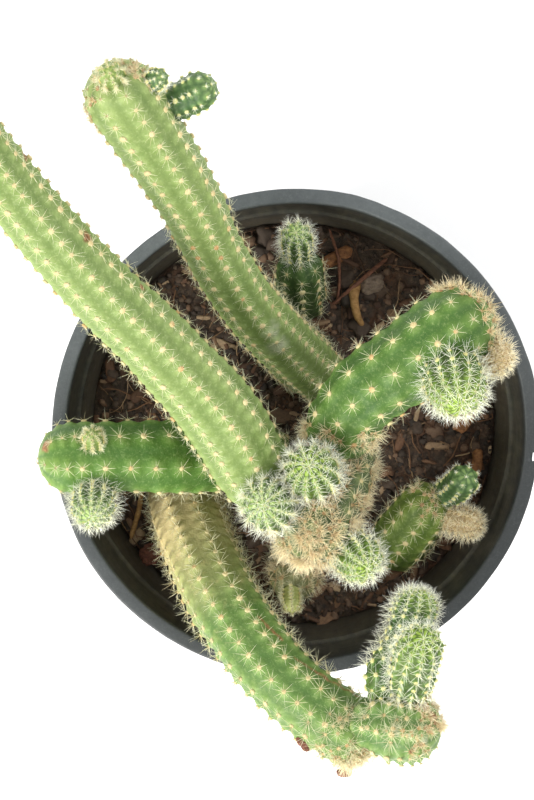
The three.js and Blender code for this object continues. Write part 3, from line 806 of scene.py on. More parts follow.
# The pup skins are partly their own dark green and partly painted shade: furrows and flesh are darkened to stand for
# the shadow of their dense spines.
PUP = skin_material(
    "skin_young", (0.005, 0.022, 0.003), (0.022, 0.08, 0.009), (0.08, 0.19, 0.024), (0.3, 0.43, 0.06), pale=0.4)
FRESH = skin_material(
    "skin_fresh", (0.008, 0.03, 0.006), (0.03, 0.09, 0.014), (0.1, 0.21, 0.04), (0.34, 0.46, 0.14), pale=0.5)
TENDER = skin_material("skin_tender", (0.022, 0.06, 0.02), (0.05, 0.12, 0.036), (0.13, 0.22, 0.075), (0.18, 0.27, 0.085))
DRIED = skin_material("skin_dried", (0.34, 0.24, 0.12), (0.5, 0.38, 0.2), (0.6, 0.48, 0.27), (0.55, 0.42, 0.22))
NEW = skin_material("skin_new", (0.26, 0.29, 0.08), (0.4, 0.43, 0.14), (0.5, 0.52, 0.2), (0.5, 0.52, 0.2))
SPROUT = skin_material("skin_sprout", (0.1, 0.16, 0.035), (0.17, 0.24, 0.055), (0.27, 0.34, 0.1), (0.3, 0.38, 0.11))
SKINS = {"green_stem": GREEN, "old_stem": OLD, "young_pup": PUP, "dried_pup": DRIED, "new_bud": SPROUT}
COATS = {
    "long_stem": PAINTED_LIGHT_GREEN, "leaning_stem": PAINTED_LIGHT_GREEN, "thick_stem": DEEP, "front_end_joint": PALE,
    "rear_stem": SHADED, "right_stem": OLIVE, "trunk_stem": DULL, "low_stem": DULL,
    "leaning_stem_crown_pup": SPROUT, "leaning_stem_small_pup": TENDER, "leaning_stem_pup": TENDER,
    "right_stem_pup": TENDER, "side_stem_pup": FRESH, "rear_stem_pup": FRESH,
    "trunk_pup_left": FRESH, "low_stem_bud": NEW,
}

PALE_SPINE = spine_material("spine_pale", (0.55, 0.44, 0.22), (0.76, 0.73, 0.45), (0.86, 0.85, 0.62), (0.56, 0.44, 0.22))
WHITE_SPINE = spine_material("spine_white", (0.78, 0.8, 0.36), (0.94, 0.95, 0.74), (1.0, 1.0, 0.94), (0.88, 0.86, 0.56))
DRY_SPINE = spine_material("spine_dry", (0.4, 0.2, 0.08), (0.84, 0.69, 0.39), (0.93, 0.86, 0.6), (0.56, 0.34, 0.16))
STRAW_SPINE = spine_material("spine_straw", (0.66, 0.47, 0.22), (0.97, 0.88, 0.6), (1.0, 0.95, 0.75), (0.85, 0.68, 0.38))
CREAM_WOOL = wool_material("wool_cream", (0.66, 0.57, 0.31), (0.6, 0.47, 0.23), (0.5, 0.24, 0.08))
WHITE_WOOL = wool_material("wool_white", (0.72, 0.7, 0.3), (0.66, 0.58, 0.25), (0.42, 0.32, 0.15))
GOLD_WOOL = wool_material("wool_gold", (0.72, 0.64, 0.28), (0.66, 0.55, 0.22), (0.42, 0.3, 0.12))
TAN_WOOL = wool_material("wool_tan", (0.58, 0.45, 0.23), (0.44, 0.29, 0.13), (0.2, 0.085, 0.035))
STRAW_WOOL = wool_material("wool_straw", (0.72, 0.58, 0.33), (0.62, 0.46, 0.23), (0.34, 0.19, 0.08))
HAIRS = {
    "mature": (CREAM_WOOL, PALE_SPINE), "slender": (CREAM_WOOL, PALE_SPINE), "bristly": (CREAM_WOOL, PALE_SPINE),
    "pup": (WHITE_WOOL, WHITE_SPINE), "dense": (WHITE_WOOL, WHITE_SPINE), "fine": (WHITE_WOOL, WHITE_SPINE),
    "soft": (WHITE_WOOL, WHITE_SPINE), "bud": (GOLD_WOOL, PALE_SPINE),
    "dried": (STRAW_WOOL, STRAW_SPINE), "husky": (STRAW_WOOL, STRAW_SPINE),
}

skins = {name: Skin(name, facts) for name, facts in STEMS.items()}
for name, skin in skins.items():
    add_skin(skin, COATS.get(name, SKINS[skin.facts["skin"]]))
    add_spines(skin, *HAIRS[skin.facts["spines"]])


TUFTS = {
    "trunk_crown_spines": (
        "trunk_stem", (2.0, 3.8),
        [(63, 60, 5, 40), (62, -60, 5, 40), (58, 0, 5, 40), (59, 110, 5, 34), (54, 75, 4.5, 24),
         (52, -70, 4.5, 20), (50, 10, 4.5, 18), (45, 70, 4, 10), (43, 0, 5, 9)],
    ),
    "trunk_edge_spines": ("trunk_stem", (1.8, 3.4), [(40, -78, 3, 8), (45, -82, 3, 9), (34, -72, 2, 4)]),
    "thick_stem_neck_spines": (
        "thick_stem", (1.8, 3.2), [(7, -40, 2.6, 9), (10, 0, 2.6, 10), (13.5, 50, 3, 9), (12, 90, 3, 8)],
    ),
    "thick_stem_end_spines": (
        "thick_stem", (1.6, 3.2), [(43, -88, 1.6, 6), (46, -84, 2, 9), (48.2, -60, 2, 9), (48.6, 0, 2, 9), (47, 60, 2.4, 10)],
    ),
    "front_joint_end_spines": (
        "front_end_joint", (1.4, 2.6), [(15.2, -150, 2.2, 9), (14.5, -62, 2.6, 14), (15.6, -20, 2.2, 10), (14, 30, 2, 6),
         (11, -88, 2.2, 10), (13.5, -98, 2.2, 10)],
    ),
    "front_stem_end_spines": ("front_stem", (2.2, 4.2), [(89.8, 80, 3.6, 22), (88.5, 130, 3.4, 18), (87.5, 40, 3, 10)]),
    "leaning_stem_crown_spines": (
        "leaning_stem", (0.9, 2.0),
        [(112.8, 69, 2.4, 14), (109, -84, 2, 8), (105, -92, 1.6, 4), (112.6, -50, 2, 8), (113.4, 10, 2, 7), (111, 80, 2, 7)],
    ),
    "right_stem_end_spines": ("right_stem", (1.4, 2.6), [(28.2, -80, 2.2, 9), (27.6, 0, 2.2, 9)]),
    "low_stem_spines": (
        "low_stem", (1.8, 3.2), [(14, 0, 4, 22), (17, 60, 3, 12), (17, -60, 3, 12), (10, 30, 4, 14), (8, -40, 4, 10)],
    ),
}
for name, (stem_name, lengths, spots) in TUFTS.items():
    add_tuft(name, skins[stem_name], spots, lengths, TAN_WOOL, DRY_SPINE)
add_tuft("front_stem_pale_spines", skins["front_stem"],
         [(80, 10, 3, 5), (84, -20, 3, 6), (86, 35, 3, 8), (82, 60, 3, 5)], (2.4, 3.8), CREAM_WOOL, PALE_SPINE, 0.045)
add_tuft("front_joint_pale_spines", skins["front_end_joint"],
         [(6, -20, 3, 5), (9, 10, 3, 6), (12, -10, 3, 6), (11, -60, 2.5, 3)], (2.2, 3.6), CREAM_WOOL, PALE_SPINE, 0.045)


# The pot

POT_LOW, POT_HIGH = (np.array(corner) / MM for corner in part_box("pot"))
RIM_RADIUS, POT_HEIGHT = POT_HIGH[0], POT_HIGH[2]
BASE_RADIUS = 37.5
LIP_WIDTH = 3
LIP_THICKNESS = 1.8
COLLAR_FOOT = POT_HEIGHT - 14.5
COLLAR_RADIUS = 49.3
COLLAR_TAPER = 1.1
COLLAR_STEP = 1
WALL = 1.3
FLOOR = 1.6
POT_SEGMENTS = 360
NOTCH_ANGLE = -0.1
NOTCH_SIZE = (2.6, 1.8, 5.4)
DRAIN_HOLES = 6
DRAIN_RADIUS = 3.5
DRAIN_CIRCLE = 27


def rounded(corners, step=1.6):
    """An outline through corners given as radius, height and rounding, with points at even steps."""
    outline = [np.array(corners[0][:2], float)]
    for (before, here, after) in zip(corners, corners[1:], corners[2:]):
        at, size = np.array(here[:2], float), here[2]
        start = at + unit(np.array(before[:2], float) - at) * size
        end = at + unit(np.array(after[:2], float) - at) * size
        for t in np.linspace(0, 1, 5):
            outline.append((1 - t) ** 2 * start + 2 * t * (1 - t) * at + t * t * end)
    outline.append(np.array(corners[-1][:2], float))
    fine = [outline[0]]
    for a, b in zip(outline, outline[1:]):
        count = max(int(np.linalg.norm(b - a) / step), 1)
        fine += [a + (b - a) * k / count for k in range(1, count + 1)]
    return np.array(fine)


def add_pot(material):
    """The lathed pot, its lip and walls slightly uneven, with the lip's notch and the drain holes cut."""
    bodytop = COLLAR_RADIUS - COLLAR_TAPER - COLLAR_STEP
    inner = RIM_RADIUS - LIP_WIDTH
    outline = rounded([
        (0.01, 0, 0), (BASE_RADIUS - 6, 0, 0.3), (BASE_RADIUS - 5, 0.5, 0.3), (BASE_RADIUS - 3, 0.5, 0.3),
        (BASE_RADIUS - 2, 0, 0.3), (BASE_RADIUS, 0, 0.8), (bodytop, COLLAR_FOOT, 0.2),
        (COLLAR_RADIUS - COLLAR_TAPER, COLLAR_FOOT + COLLAR_STEP, 0.4),
        (COLLAR_RADIUS, POT_HEIGHT - LIP_THICKNESS, 0.3), (RIM_RADIUS, POT_HEIGHT - LIP_THICKNESS, 0.35),
        (RIM_RADIUS, POT_HEIGHT, 0.5), (inner, POT_HEIGHT, 0.6),
        (inner - COLLAR_TAPER, COLLAR_FOOT + COLLAR_STEP + 0.6, 0.6), (inner - COLLAR_TAPER - 0.9, COLLAR_FOOT + COLLAR_STEP, 0.3),
        (bodytop - WALL, COLLAR_FOOT - 0.8, 0.5), (BASE_RADIUS - WALL, FLOOR, 1.0), (0.01, FLOOR, 0),
    ])
    ring, spoke = len(outline), POT_SEGMENTS
    turn = np.arange(spoke) * 2 * math.pi / spoke
    radius, height = outline[:, 0], outline[:, 1]
    flat = np.stack([np.cos(turn), np.sin(turn)], 1)
    points = np.concatenate([radius[:, None, None] * flat[None], np.broadcast_to(height[:, None, None], (ring, spoke, 1))], 2)
    points = points.reshape(-1, 3)
    near_lip = np.clip((points[:, 2] - COLLAR_FOOT) / (POT_HEIGHT - COLLAR_FOOT), 0, 1)
    outward = np.concatenate([np.tile(flat, (ring, 1)), np.zeros((ring * spoke, 1))], 1)
    uneven = 0.16 * lumps(points, 9.0, 21) + 0.05 * lumps(points, 2.2, 22)
    points += outward * (uneven * near_lip)[:, None] - outward * (0.1 * near_lip)[:, None]
    points[:, 2] -= 0.1 * near_lip**3 * (1 + lumps(points, 5.0, 23))
    faces = tube_faces(ring, spoke)[:, ::-1]
    inside = (np.repeat(np.arange(ring), spoke) > ring * 0.5) & (np.hypot(points[:, 0], points[:, 1]) < inner + 0.1)
    ends = np.array([[0, 0, 0.0], [0, 0, FLOOR]])
    i = np.arange(spoke)
    after = (i + 1) % spoke
    bottom = np.stack([np.full(spoke, ring * spoke), after, i], 1)
    last = (ring - 1) * spoke
    top = np.stack([np.full(spoke, ring * spoke + 1), last + i, last + after], 1)
    pot = add_mesh("pot_shell", np.vstack([points, ends]), [faces, bottom[:, ::-1], top[:, ::-1]], [material],
                   marks={"inside": np.append(inside.astype(float), [0, 1])}, replaces=["pot"])
    cut(pot, cutters())
    return pot


def cutters():
    """Shapes cut out of the pot: the lip's notch and the drain holes."""
    shape = bmesh.new()
    box = bmesh.ops.create_cube(shape, size=1)["verts"]
    bmesh.ops.scale(shape, vec=NOTCH_SIZE, verts=box)
    bmesh.ops.translate(shape, vec=(RIM_RADIUS, 0, POT_HEIGHT), verts=box)
    bmesh.ops.rotate(shape, cent=(0, 0, 0), matrix=Matrix.Rotation(NOTCH_ANGLE, 3, "Z"), verts=box)
    for k in range(DRAIN_HOLES):
        angle = k * 2 * math.pi / DRAIN_HOLES
        hole = bmesh.ops.create_cone(
            shape, cap_ends=True, segments=40, radius1=DRAIN_RADIUS, radius2=DRAIN_RADIUS, depth=FLOOR * 4)["verts"]
        bmesh.ops.translate(shape, vec=(DRAIN_CIRCLE * math.cos(angle), DRAIN_CIRCLE * math.sin(angle), FLOOR / 2), verts=hole)
    bmesh.ops.scale(shape, vec=(MM, MM, MM), verts=shape.verts)
    mesh = bpy.data.meshes.new("cutters")
    shape.to_mesh(mesh)
    shape.free()
    return mesh


def cut(piece, mesh):
    """Cuts the mesh's shapes out of the piece for good."""
    tool = bpy.data.objects.new("cutter", mesh)
    bpy.context.scene.collection.objects.link(tool)
    boolean = piece.modifiers.new("cut", "BOOLEAN")
    boolean.operation = "DIFFERENCE"
    boolean.solver = "EXACT"
    boolean.object = tool
    solid = bpy.data.meshes.new_from_object(piece.evaluated_get(bpy.context.evaluated_depsgraph_get()))
    piece.modifiers.clear()
    piece.data = solid
    bpy.data.objects.remove(tool)


def plastic_material(name):
    """Moulded black plastic: scuffed on the lip, paler on its far side with painted light and darker on its near right
    with painted shade; streaked with dried water and dust inside, the streaks stronger on the right with painted light.
    """
    n = Nodes(name)
    height = n.height()
    base = n.mix(n.noise(7, 4), (0.017, 0.019, 0.02), (0.036, 0.039, 0.039))
    scuffs = n.math("MULTIPLY", n.ramp(n.noise(0.35, 3, 0.5, (1, 1, 0.3)), (0.5, 0.0), (0.72, 1.0)), n.noise(5, 3))
    lip = n.ramp(height, (0.0, 0.0), (0.974, 0.0), (0.99, 1.0))
    # Painted light on the lip: its paler rubbed grey is spread by side, most towards the far side and least on the near
    # right.
    lip_lit_side = n.toward(-0.3, 0.95)
    worn = n.ramp(lip_lit_side, (0.2, 0.2), (0.4, 0.3), (0.7, 0.8), (0.95, 1.0))
    rubbed = n.mix(n.noise(1.2, 5, 0.7), (0.05, 0.057, 0.06), (0.1, 0.112, 0.114))
    colour = n.mix(lip, base, n.mix(worn, (0.013, 0.014, 0.014), rubbed))
    colour = n.mix(n.math("MULTIPLY", scuffs, 0.3), colour, (0.17, 0.18, 0.18))
    streaks = n.ramp(n.noise(1.6, 5, 0.65, (1, 1, 0.07)), (0.35, 0.15), (0.75, 1.0))
    # The dust streaks are real; making them stronger towards the right (+X) inner wall, where the light falls, is
    # painted light.
    streaks = n.math("MULTIPLY", streaks, n.ramp(n.toward(1, 0), (0.4, 0.6), (0.95, 1.0)))
    dust_and_painted_light = n.math("MULTIPLY", n.mark("inside"), n.math("MULTIPLY", streaks, 0.7))
    dust_and_painted_light = n.math("MULTIPLY", dust_and_painted_light, n.ramp(height, (0.955, 1.0), (0.98, 0.1)))
    colour = n.mix(dust_and_painted_light, colour, n.mix(n.noise(6, 2), (0.16, 0.13, 0.085), (0.11, 0.12, 0.085)))
    silt = n.math("MULTIPLY", n.mark("inside"), n.ramp(height, (0.0, 0.9), (0.78, 0.75), (0.86, 0.12), (1.0, 0.0)))
    silt = n.math("MULTIPLY", silt, n.ramp(n.noise(2.2, 6, 0.7), (0.35, 0.25), (0.7, 1.0)))
    colour = n.mix(silt, colour, (0.11, 0.085, 0.055))
    # Painted shade: the top of the pot is darkened on its near right side.
    shade = n.math("MULTIPLY", n.ramp(height, (0.9, 0.0), (0.97, 1.0)), n.ramp(lip_lit_side, (0.3, 0.6), (0.8, 0.0)))
    colour = n.mix(shade, colour, (0.013, 0.014, 0.014))
    roughness = n.math("ADD", n.ramp(n.noise(2.5, 5), (0.3, 0.36), (0.7, 0.5)), n.math("MULTIPLY", silt, 0.35))
    scratches = n.noise(0.25, 2, 0.5, (1, 1, 0.12))
    normal = n.bump(n.math("ADD", n.math("MULTIPLY", scratches, 0.5), n.noise(0.7, 3)), 0.05)
    n.set(Specular_IOR_Level=0.3)
    return n.finish(colour, roughness, normal)


# The soil

SOIL_LOW, SOIL_HIGH = (np.array(corner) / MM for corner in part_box("soil"))
SOIL_EDGE = SOIL_HIGH[0] + 0.4
SOIL_TOP = 62
SOIL_MOUND = 1.6
SOIL_RIPPLE = 0.5
SOIL_RINGS = 130
SOIL_SPOKES = 420


def soil_height(x, y):
    """The packed soil's surface, with the crumbs and hollows that it only stands for."""
    share = np.hypot(x, y) / RIM_RADIUS
    ripple = np.sin(x * 0.31 + 1) * np.cos(y * 0.27) + 0.6 * np.sin(x * 0.13 - y * 0.44)
    plan = np.stack([x, y, np.zeros_like(x)], 1)
    rough = 0.8 * lumps(plan, 5.5, 31) + 0.55 * lumps(plan, 2.4, 32) + 0.3 * lumps(plan, 1.1, 33) + 0.14 * lumps(plan, 0.5, 34)
    return SOIL_TOP + SOIL_MOUND * (1 - share**2) + SOIL_RIPPLE * ripple + rough


def add_soil(material):
    """The body of soil, closed all round, under a crumbly surface."""
    share = np.linspace(0.004, 1, SOIL_RINGS)
    turn = np.arange(SOIL_SPOKES) * 2 * math.pi / SOIL_SPOKES
    radius = np.repeat(share * SOIL_EDGE, SOIL_SPOKES)
    x, y = radius * np.cos(np.tile(turn, SOIL_RINGS)), radius * np.sin(np.tile(turn, SOIL_RINGS))
    edge = np.clip((SOIL_EDGE - radius) / 1.5, 0, 1)
    surface = np.stack([x, y, soil_height(x, y) * edge + (SOIL_TOP - 0.6) * (1 - edge)], 1)
    foot_radius = SOIL_EDGE - (COLLAR_RADIUS - COLLAR_TAPER - COLLAR_STEP - BASE_RADIUS) * SOIL_TOP / COLLAR_FOOT
    flat = np.stack([np.cos(turn), np.sin(turn), np.zeros_like(turn)], 1)
    wall = [flat * (foot_radius * (1 - t) + SOIL_EDGE * t) + [0, 0, SOIL_LOW[2] * (1 - t) + (SOIL_TOP - 1) * t]
            for t in np.linspace(1, 0, 12)]
    points = np.vstack([surface] + wall + [[[0, 0, soil_height(np.zeros(1), np.zeros(1))[0]], [0, 0, SOIL_LOW[2]]]])
    rings = SOIL_RINGS + 12
    walls = tube_faces(rings, SOIL_SPOKES)
    i = np.arange(SOIL_SPOKES)
    after = (i + 1) % SOIL_SPOKES
    middle = np.stack([np.full(SOIL_SPOKES, rings * SOIL_SPOKES), after, i], 1)
    last = (rings - 1) * SOIL_SPOKES
    foot = np.stack([np.full(SOIL_SPOKES, rings * SOIL_SPOKES + 1), last + i, last + after], 1)
    add_mesh("soil_bed", points, [walls[:, ::-1], middle[:, ::-1], foot[:, ::-1]], [material], replaces=["soil"])


def spread_over_soil(rng, count, reach=0.985):
    """Random places on the soil, in mm."""
    radius = SOIL_EDGE * reach * np.sqrt(rng.uniform(0, 1, count))
    turn = rng.uniform(0, 2 * math.pi, count)
    return radius * np.cos(turn), radius * np.sin(turn)


def add_crumbs(name, count, sizes, squash, boxy, detail, material, tints=(0, 1)):
    """Many small lumps lying on the soil, each turned, stretched and roughened in its own way."""
    rng = chance(name)
    shape, faces = ball(detail)
    x, y = spread_over_soil(rng, count)
    size = sizes[0] + (sizes[1] - sizes[0]) * rng.uniform(0, 1, count) ** 2.2
    scale = size[:, None] * np.stack([np.ones(count), rng.uniform(*squash[0], count), rng.uniform(*squash[1], count)], 1)
    body = np.sign(shape) * np.abs(shape) ** boxy
    local = np.repeat(body[None], count, 0)
    shift = rng.uniform(-50, 50, (count, 1, 3))
    local *= 1 + 0.42 * lumps((local + shift).reshape(-1, 3), 0.6, 41).reshape(count, -1, 1)
    local *= scale[:, None]
    turn, tip, roll = rng.uniform(0, 2 * math.pi, count), rng.normal(0, 0.3, count), rng.normal(0, 0.35, count)
    along = np.stack([np.cos(turn) * np.cos(tip), np.sin(turn) * np.cos(tip), np.sin(tip)], 1)
    across = unit(np.cross([[0, 0, 1.0]], along))
    up = np.cross(along, across)
    across, up = (across * np.cos(roll)[:, None] + up * np.sin(roll)[:, None],
                  up * np.cos(roll)[:, None] - across * np.sin(roll)[:, None])
    centres = np.stack([x, y, soil_height(x, y) + scale[:, 2] * 0.35], 1)
    points = centres[:, None] + along[:, None] * local[..., :1] + across[:, None] * local[..., 1:2] + up[:, None] * local[..., 2:]
    tris = (faces[None] + (np.arange(count) * len(shape))[:, None, None]).reshape(-1, 3)
    tint = rng.uniform(*tints, count)
    maps = np.stack([np.tile(0.5 + 0.4 * shape[:, 0], count), np.repeat(tint * 0.9 + 0.03, len(shape)) + np.tile(0.015 * shape[:, 1], count)], 1)
    add_mesh(name, points.reshape(-1, 3), [tris], [material], [maps[tris]], smooth=False)


def thread(line, radius, around=6):
    """A round thread along a line, its ends drawn to points: its points and faces."""
    ahead = unit(np.gradient(line, axis=0))
    helper = np.where(np.abs(ahead[:, 2:]) < 0.9, [[0, 0, 1.0]], [[1.0, 0, 0]])
    across = unit(np.cross(ahead, helper))
    up = np.cross(ahead, across)
    angle = np.arange(around) * 2 * math.pi / around
    out = across[:, None] * np.cos(angle)[None, :, None] + up[:, None] * np.sin(angle)[None, :, None]
    points = (line[:, None] + out * np.asarray(radius)[:, None, None]).reshape(-1, 3)
    i = np.arange(around)
    after = (i + 1) % around
    start, last = len(points), (len(line) - 1) * around
    caps = np.vstack([np.stack([np.full(around, start), after, i], 1), np.stack([np.full(around, start + 1), last + i, last + after], 1)])
    return np.vstack([points, line[:1] - ahead[:1] * 0.02, line[-1:] + ahead[-1:] * 0.02]), tube_faces(len(line), around), caps


def add_fibres(name, count, material):
    """Coir fibres and fine roots lying over the soil in loose bends."""
    rng = chance(name)
    points, quads, caps, maps = [], [], [], []
    start = 0
    steps = 14
    for x, y in zip(*spread_over_soil(rng, count, 0.94)):
        length = rng.uniform(5, 20)
        heading = rng.uniform(0, 2 * math.pi) + np.cumsum(rng.normal(0, 0.22, steps))
        run = np.cumsum(np.stack([np.cos(heading), np.sin(heading)], 1) * length / steps, axis=0) + [x, y]
        away = np.hypot(run[:, 0], run[:, 1])
        run *= np.minimum(1, SOIL_EDGE * 0.985 / away)[:, None]
        lift = 0.15 + rng.uniform(0, 1.1) * np.sin(np.linspace(0, math.pi, steps)) + 0.25 * rng.uniform(-1, 1, steps)
        line = np.column_stack([run, soil_height(run[:, 0], run[:, 1]) * 0.35 + (SOIL_TOP + 1.0) * 0.65 + lift])
        thick = rng.uniform(0.06, 0.17) * np.sin(np.linspace(0.35, math.pi - 0.2, steps)) ** 0.5
        more, walls, ends = thread(line, thick, 5)
        tint = rng.uniform(0.03, 0.9)
        points.append(more)
        quads.append(walls + start)
        caps.append(ends + start)
        along = np.append(np.repeat(np.linspace(0.03, 0.97, steps), 5), [0.0, 1.0])
        maps.append(np.stack([along, tint + 0.01 * (np.arange(len(more)) % 5)], 1))
        start += len(more)
    maps = np.vstack(maps)
    quads, caps = np.vstack(quads), np.vstack(caps)
    add_mesh(name, np.vstack(points), [quads, caps], [material], [maps[quads], maps[caps]])


def add_thread(name, axis, radii, material, replaces=(), knots=0.12, around=14):
    """A twig or root along a curve, with uneven thickness."""
    distance, line = even_line(catmull_rom(axis), 0.22)
    share = distance / distance[-1]
    radius = np.interp(share, np.linspace(0, 1, len(radii)), radii)
    radius *= 1 + knots * lumps(line, 1.6, 51) + 0.5 * knots * lumps(line, 0.5, 52)
    radius *= np.clip(np.sin(np.clip(share, 0.004, 0.996) * math.pi) * 8, 0.1, 1) ** 0.5
    points, quads, caps = thread(line, radius, around)
    points += unit(np.stack([lumps(points, 0.6, k) for k in (53, 54, 55)], 1) + 1e-6) * 0.04
    add_mesh(name, points, [quads, caps], [material], replaces=replaces)


def add_chip(name, size, heading, boxy, material, at=None, tilt=0.0, replaces=()):
    """A chip, grain or pebble: a rounded block worn by noise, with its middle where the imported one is."""
    shape, faces = ball(5)
    body = np.sign(shape) * np.abs(shape) ** boxy * np.array(size) / 2
    seed = zlib.crc32(name.encode()) % 89
    away = unit(body)
    body += away * (0.16 * min(size) * lumps(body, 1.7, seed) + 0.08 * min(size) * lumps(body, 0.6, seed + 1))[:, None]
    body += away * (0.05 * min(size) * lumps(body * [1, 4, 4], 0.9, seed + 2))[:, None]
    turn = np.array(Matrix.Rotation(heading, 3, "Z") @ Matrix.Rotation(tilt, 3, "Y"))
    if at is None:
        low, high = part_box(replaces[0])
        at = (np.array(low) + np.array(high)) / 2 / MM
    add_mesh(name, body @ turn.T + at, [faces], [material], replaces=replaces)


def soil_material(name):
    """Moist peat: near black in the hollows, with red-brown and tan crumbs."""
    n = Nodes(name)
    colour = n.ramp(n.noise(1.4, 7, 0.75), (0.3, (0.024, 0.018, 0.014)), (0.52, (0.08, 0.055, 0.037)), (0.72, (0.18, 0.115, 0.07)))
    colour = n.mix(n.ramp(n.noise(7, 4), (0.48, 0.0), (0.68, 0.75)), colour, n.ramp(n.noise(1.0, 6), (0.35, (0.06, 0.026, 0.013)), (0.7, (0.2, 0.085, 0.035))))
    colour = n.mix(n.ramp(n.cells(0.9), (0.1, 0.5), (0.22, 0.0)), colour, (0.2, 0.13, 0.07))
    grain = n.noise(0.45, 6, 0.8)
    return n.finish(colour, n.ramp(grain, (0.3, 0.75), (0.7, 1.0)), n.bump(grain, 0.5))


def litter_material(name, dark, middle, light, rough=0.8):
    """Bits whose colour goes with their place on the colour map, with a fine grain over it."""
    n = Nodes(name)
    uv = n.tree.nodes.new("ShaderNodeUVMap")
    uv.uv_map = "OFBake"
    split = n.tree.nodes.new("ShaderNodeSeparateXYZ")
    n.link(uv.outputs[0], split.inputs[0])
    colour = n.ramp(split.outputs[1], (0.0, dark), (0.62, middle), (0.97, light))
    grain = n.noise(0.5, 5, 0.7)
    colour = n.mix(n.ramp(grain, (0.35, 0.55), (0.6, 0.0)), colour, n.mix(0.7, colour, dark))
    return n.finish(colour, n.ramp(grain, (0, rough - 0.1), (1, rough + 0.1)), n.bump(grain, 0.15))


def wood_material(name, dark, light, size=1.2):
    """Bark or twig: streaks along it, darker cracks."""
    n = Nodes(name)
    streak = n.noise(size, 6, 0.7, (1, 1.6, 1))
    colour = n.ramp(streak, (0.3, dark), (0.7, light))
    crack = n.cells(0.8)
    colour = n.mix(n.ramp(crack, (0.05, 0.6), (0.2, 0.0)), colour, dark)
    return n.finish(colour, n.ramp(streak, (0, 0.7), (1, 0.95)), n.bump(streak, 0.3))


SOIL = soil_material("soil_peat")
PEAT_BITS = litter_material("peat_bits", (0.026, 0.02, 0.015), (0.1, 0.065, 0.042), (0.26, 0.15, 0.085))
CHIP_BITS = litter_material("chip_bits", (0.05, 0.026, 0.015), (0.2, 0.1, 0.05), (0.5, 0.36, 0.21))
FIBRE = litter_material("fibres", (0.06, 0.028, 0.014), (0.22, 0.11, 0.05), (0.48, 0.33, 0.18))
BARK = wood_material("bark", (0.1, 0.035, 0.012), (0.42, 0.19, 0.07))
TWIG = wood_material("twig_wood", (0.24, 0.115, 0.035), (0.56, 0.33, 0.12))
ROOT = wood_material("root_wood", (0.09, 0.035, 0.02), (0.3, 0.13, 0.07))
STONE = wood_material("pebble_stone", (0.14, 0.1, 0.072), (0.3, 0.225, 0.16), 0.8)
CLAY = wood_material("clay", (0.11, 0.04, 0.025), (0.3, 0.12, 0.075), 0.7)
HUSK = wood_material("husk", (0.07, 0.022, 0.014), (0.26, 0.095, 0.055), 0.6)

add_pot(plastic_material("black_plastic"))
add_soil(SOIL)
add_crumbs("soil_crumbs", 1800, (0.3, 1.1), ((0.6, 1.0), (0.5, 0.9)), 0.9, 2, PEAT_BITS)
add_crumbs("soil_fine_crumbs", 1800, (0.25, 0.8), ((0.6, 1.0), (0.5, 0.9)), 0.9, 2, PEAT_BITS)
add_crumbs("soil_clods", 210, (0.9, 2.2), ((0.6, 1.0), (0.4, 0.7)), 0.85, 3, PEAT_BITS, (0, 0.9))
add_crumbs("soil_chips", 520, (0.6, 2.8), ((0.2, 0.55), (0.12, 0.3)), 0.65, 2, CHIP_BITS)
add_fibres("soil_fibres", 330, FIBRE)
add_thread("curved_stick", [(14, 31.5, 62), (13, 29, 65.4), (13.6, 24.5, 65.8), (15.6, 21, 62.2)], [1.15, 1.15, 0.8, 0.5], TWIG, ["curved_twig"])
add_thread("straight_stick", [(-33.4, -12, 62.4), (-34, -18, 65), (-36, -25, 64.6)], [0.5, 0.65, 0.5], TWIG, ["straight_twig"])
add_thread("thin_root", [(7.6, 43, 64.6), (8.6, 40, 65.8), (9.6, 36.5, 65.6), (9.8, 31, 65), (9.3, 26.5, 64)], [0.25, 0.36, 0.36, 0.25], ROOT)
add_thread("red_root", [(20.4, 36.6, 63.5), (16.5, 33.5, 65.4), (12, 29.6, 65.6), (8.3, 26.4, 64.2)], [0.4, 0.5, 0.45, 0.3], ROOT)
add_chip("right_chip", (7, 3.4, 2), 1.1, 0.6, BARK, replaces=["bark_chip_right"])
add_chip("wall_chip", (7, 2.4, 3), 1.4, 0.6, BARK, replaces=["bark_chip_wall"])
add_chip("front_chip", (6, 3, 2.4), -0.9, 0.6, BARK, replaces=["bark_chip_front"])
add_chip("rear_chip", (8, 3, 2), 0.5, 0.6, BARK, replaces=["bark_chip_rear"])
add_chip("pale_pebble", (5, 4, 3.4), 0.4, 0.9, STONE, replaces=["pebble"])
add_chip("red_pellet", (4.4, 4.2, 4), 0, 0.95, CLAY, replaces=["clay_pellet"])
add_chip("husk_under_stem", (3.6, 1.8, 1.4), -1.05, 0.8, HUSK, at=(1.2, -59.8, 113.4))
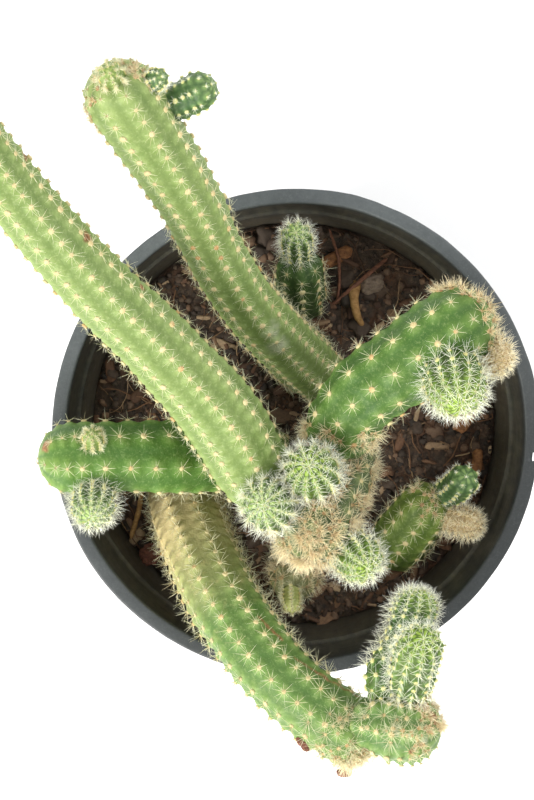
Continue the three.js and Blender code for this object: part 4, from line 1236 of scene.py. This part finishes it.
add_chip("husk_at_end", (3.0, 1.8, 1.5), 0.1, 0.8, HUSK, at=(9.4, -66.2, 111.6))


# Surroundings

def pale_material(name, colour):
    n = Nodes(name)
    grain = n.noise(2, 3)
    return n.finish(n.mix(n.ramp(grain, (0.3, 0.0), (0.7, 0.03)), colour, (0.8, 0.8, 0.8)), n.ramp(grain, (0, 0.8), (1, 0.9)))


def add_floor():
    mesh = bpy.data.meshes.new("floor")
    half = 4.0
    mesh.from_pydata([(-half, -half, -0.0003), (half, -half, -0.0003), (half, half, -0.0003), (-half, half, -0.0003)], [], [(0, 1, 2, 3)])
    mesh.materials.append(pale_material("floor_white", (0.95, 0.95, 0.95)))
    floor = bpy.data.objects.new("floor", mesh)
    bpy.context.scene.collection.objects.link(floor)


def add_light(name, place, aim, size, power, colour=(1, 1, 1)):
    light = bpy.data.lights.new(name, "AREA")
    light.size = size
    light.energy = power
    light.color = colour
    lamp = bpy.data.objects.new(name, light)
    lamp.location = place
    direction = np.array(aim) - np.array(place)
    lamp.rotation_euler = Vector(direction).to_track_quat("-Z", "Y").to_euler()
    bpy.context.scene.collection.objects.link(lamp)


def add_world(strength):
    world = bpy.data.worlds.new("studio")
    world.use_nodes = True
    world.node_tree.nodes["Background"].inputs["Color"].default_value = (1, 1, 1, 1)
    world.node_tree.nodes["Background"].inputs["Strength"].default_value = strength
    bpy.context.scene.world = world


def add_camera():
    data = bpy.data.cameras.new("camera")
    data.lens = CAMERA_LENS
    data.sensor_width = 36
    camera = bpy.data.objects.new("camera", data)
    camera.location = CAMERA_AT
    camera.rotation_euler = (CAMERA_TILT, 0, 0)
    bpy.context.scene.collection.objects.link(camera)
    bpy.context.scene.camera = camera


add_floor()
add_world(1.0)
add_light("key", (-0.7, -0.75, 0.9), (0, 0, 0.09), 0.9, 31, (1, 0.985, 0.95))
add_light("fill", (0.8, 0.5, 0.9), (0, 0, 0.09), 1.0, 8, (0.97, 0.985, 1))
add_camera()
bpy.context.scene.view_settings.view_transform = "Standard"
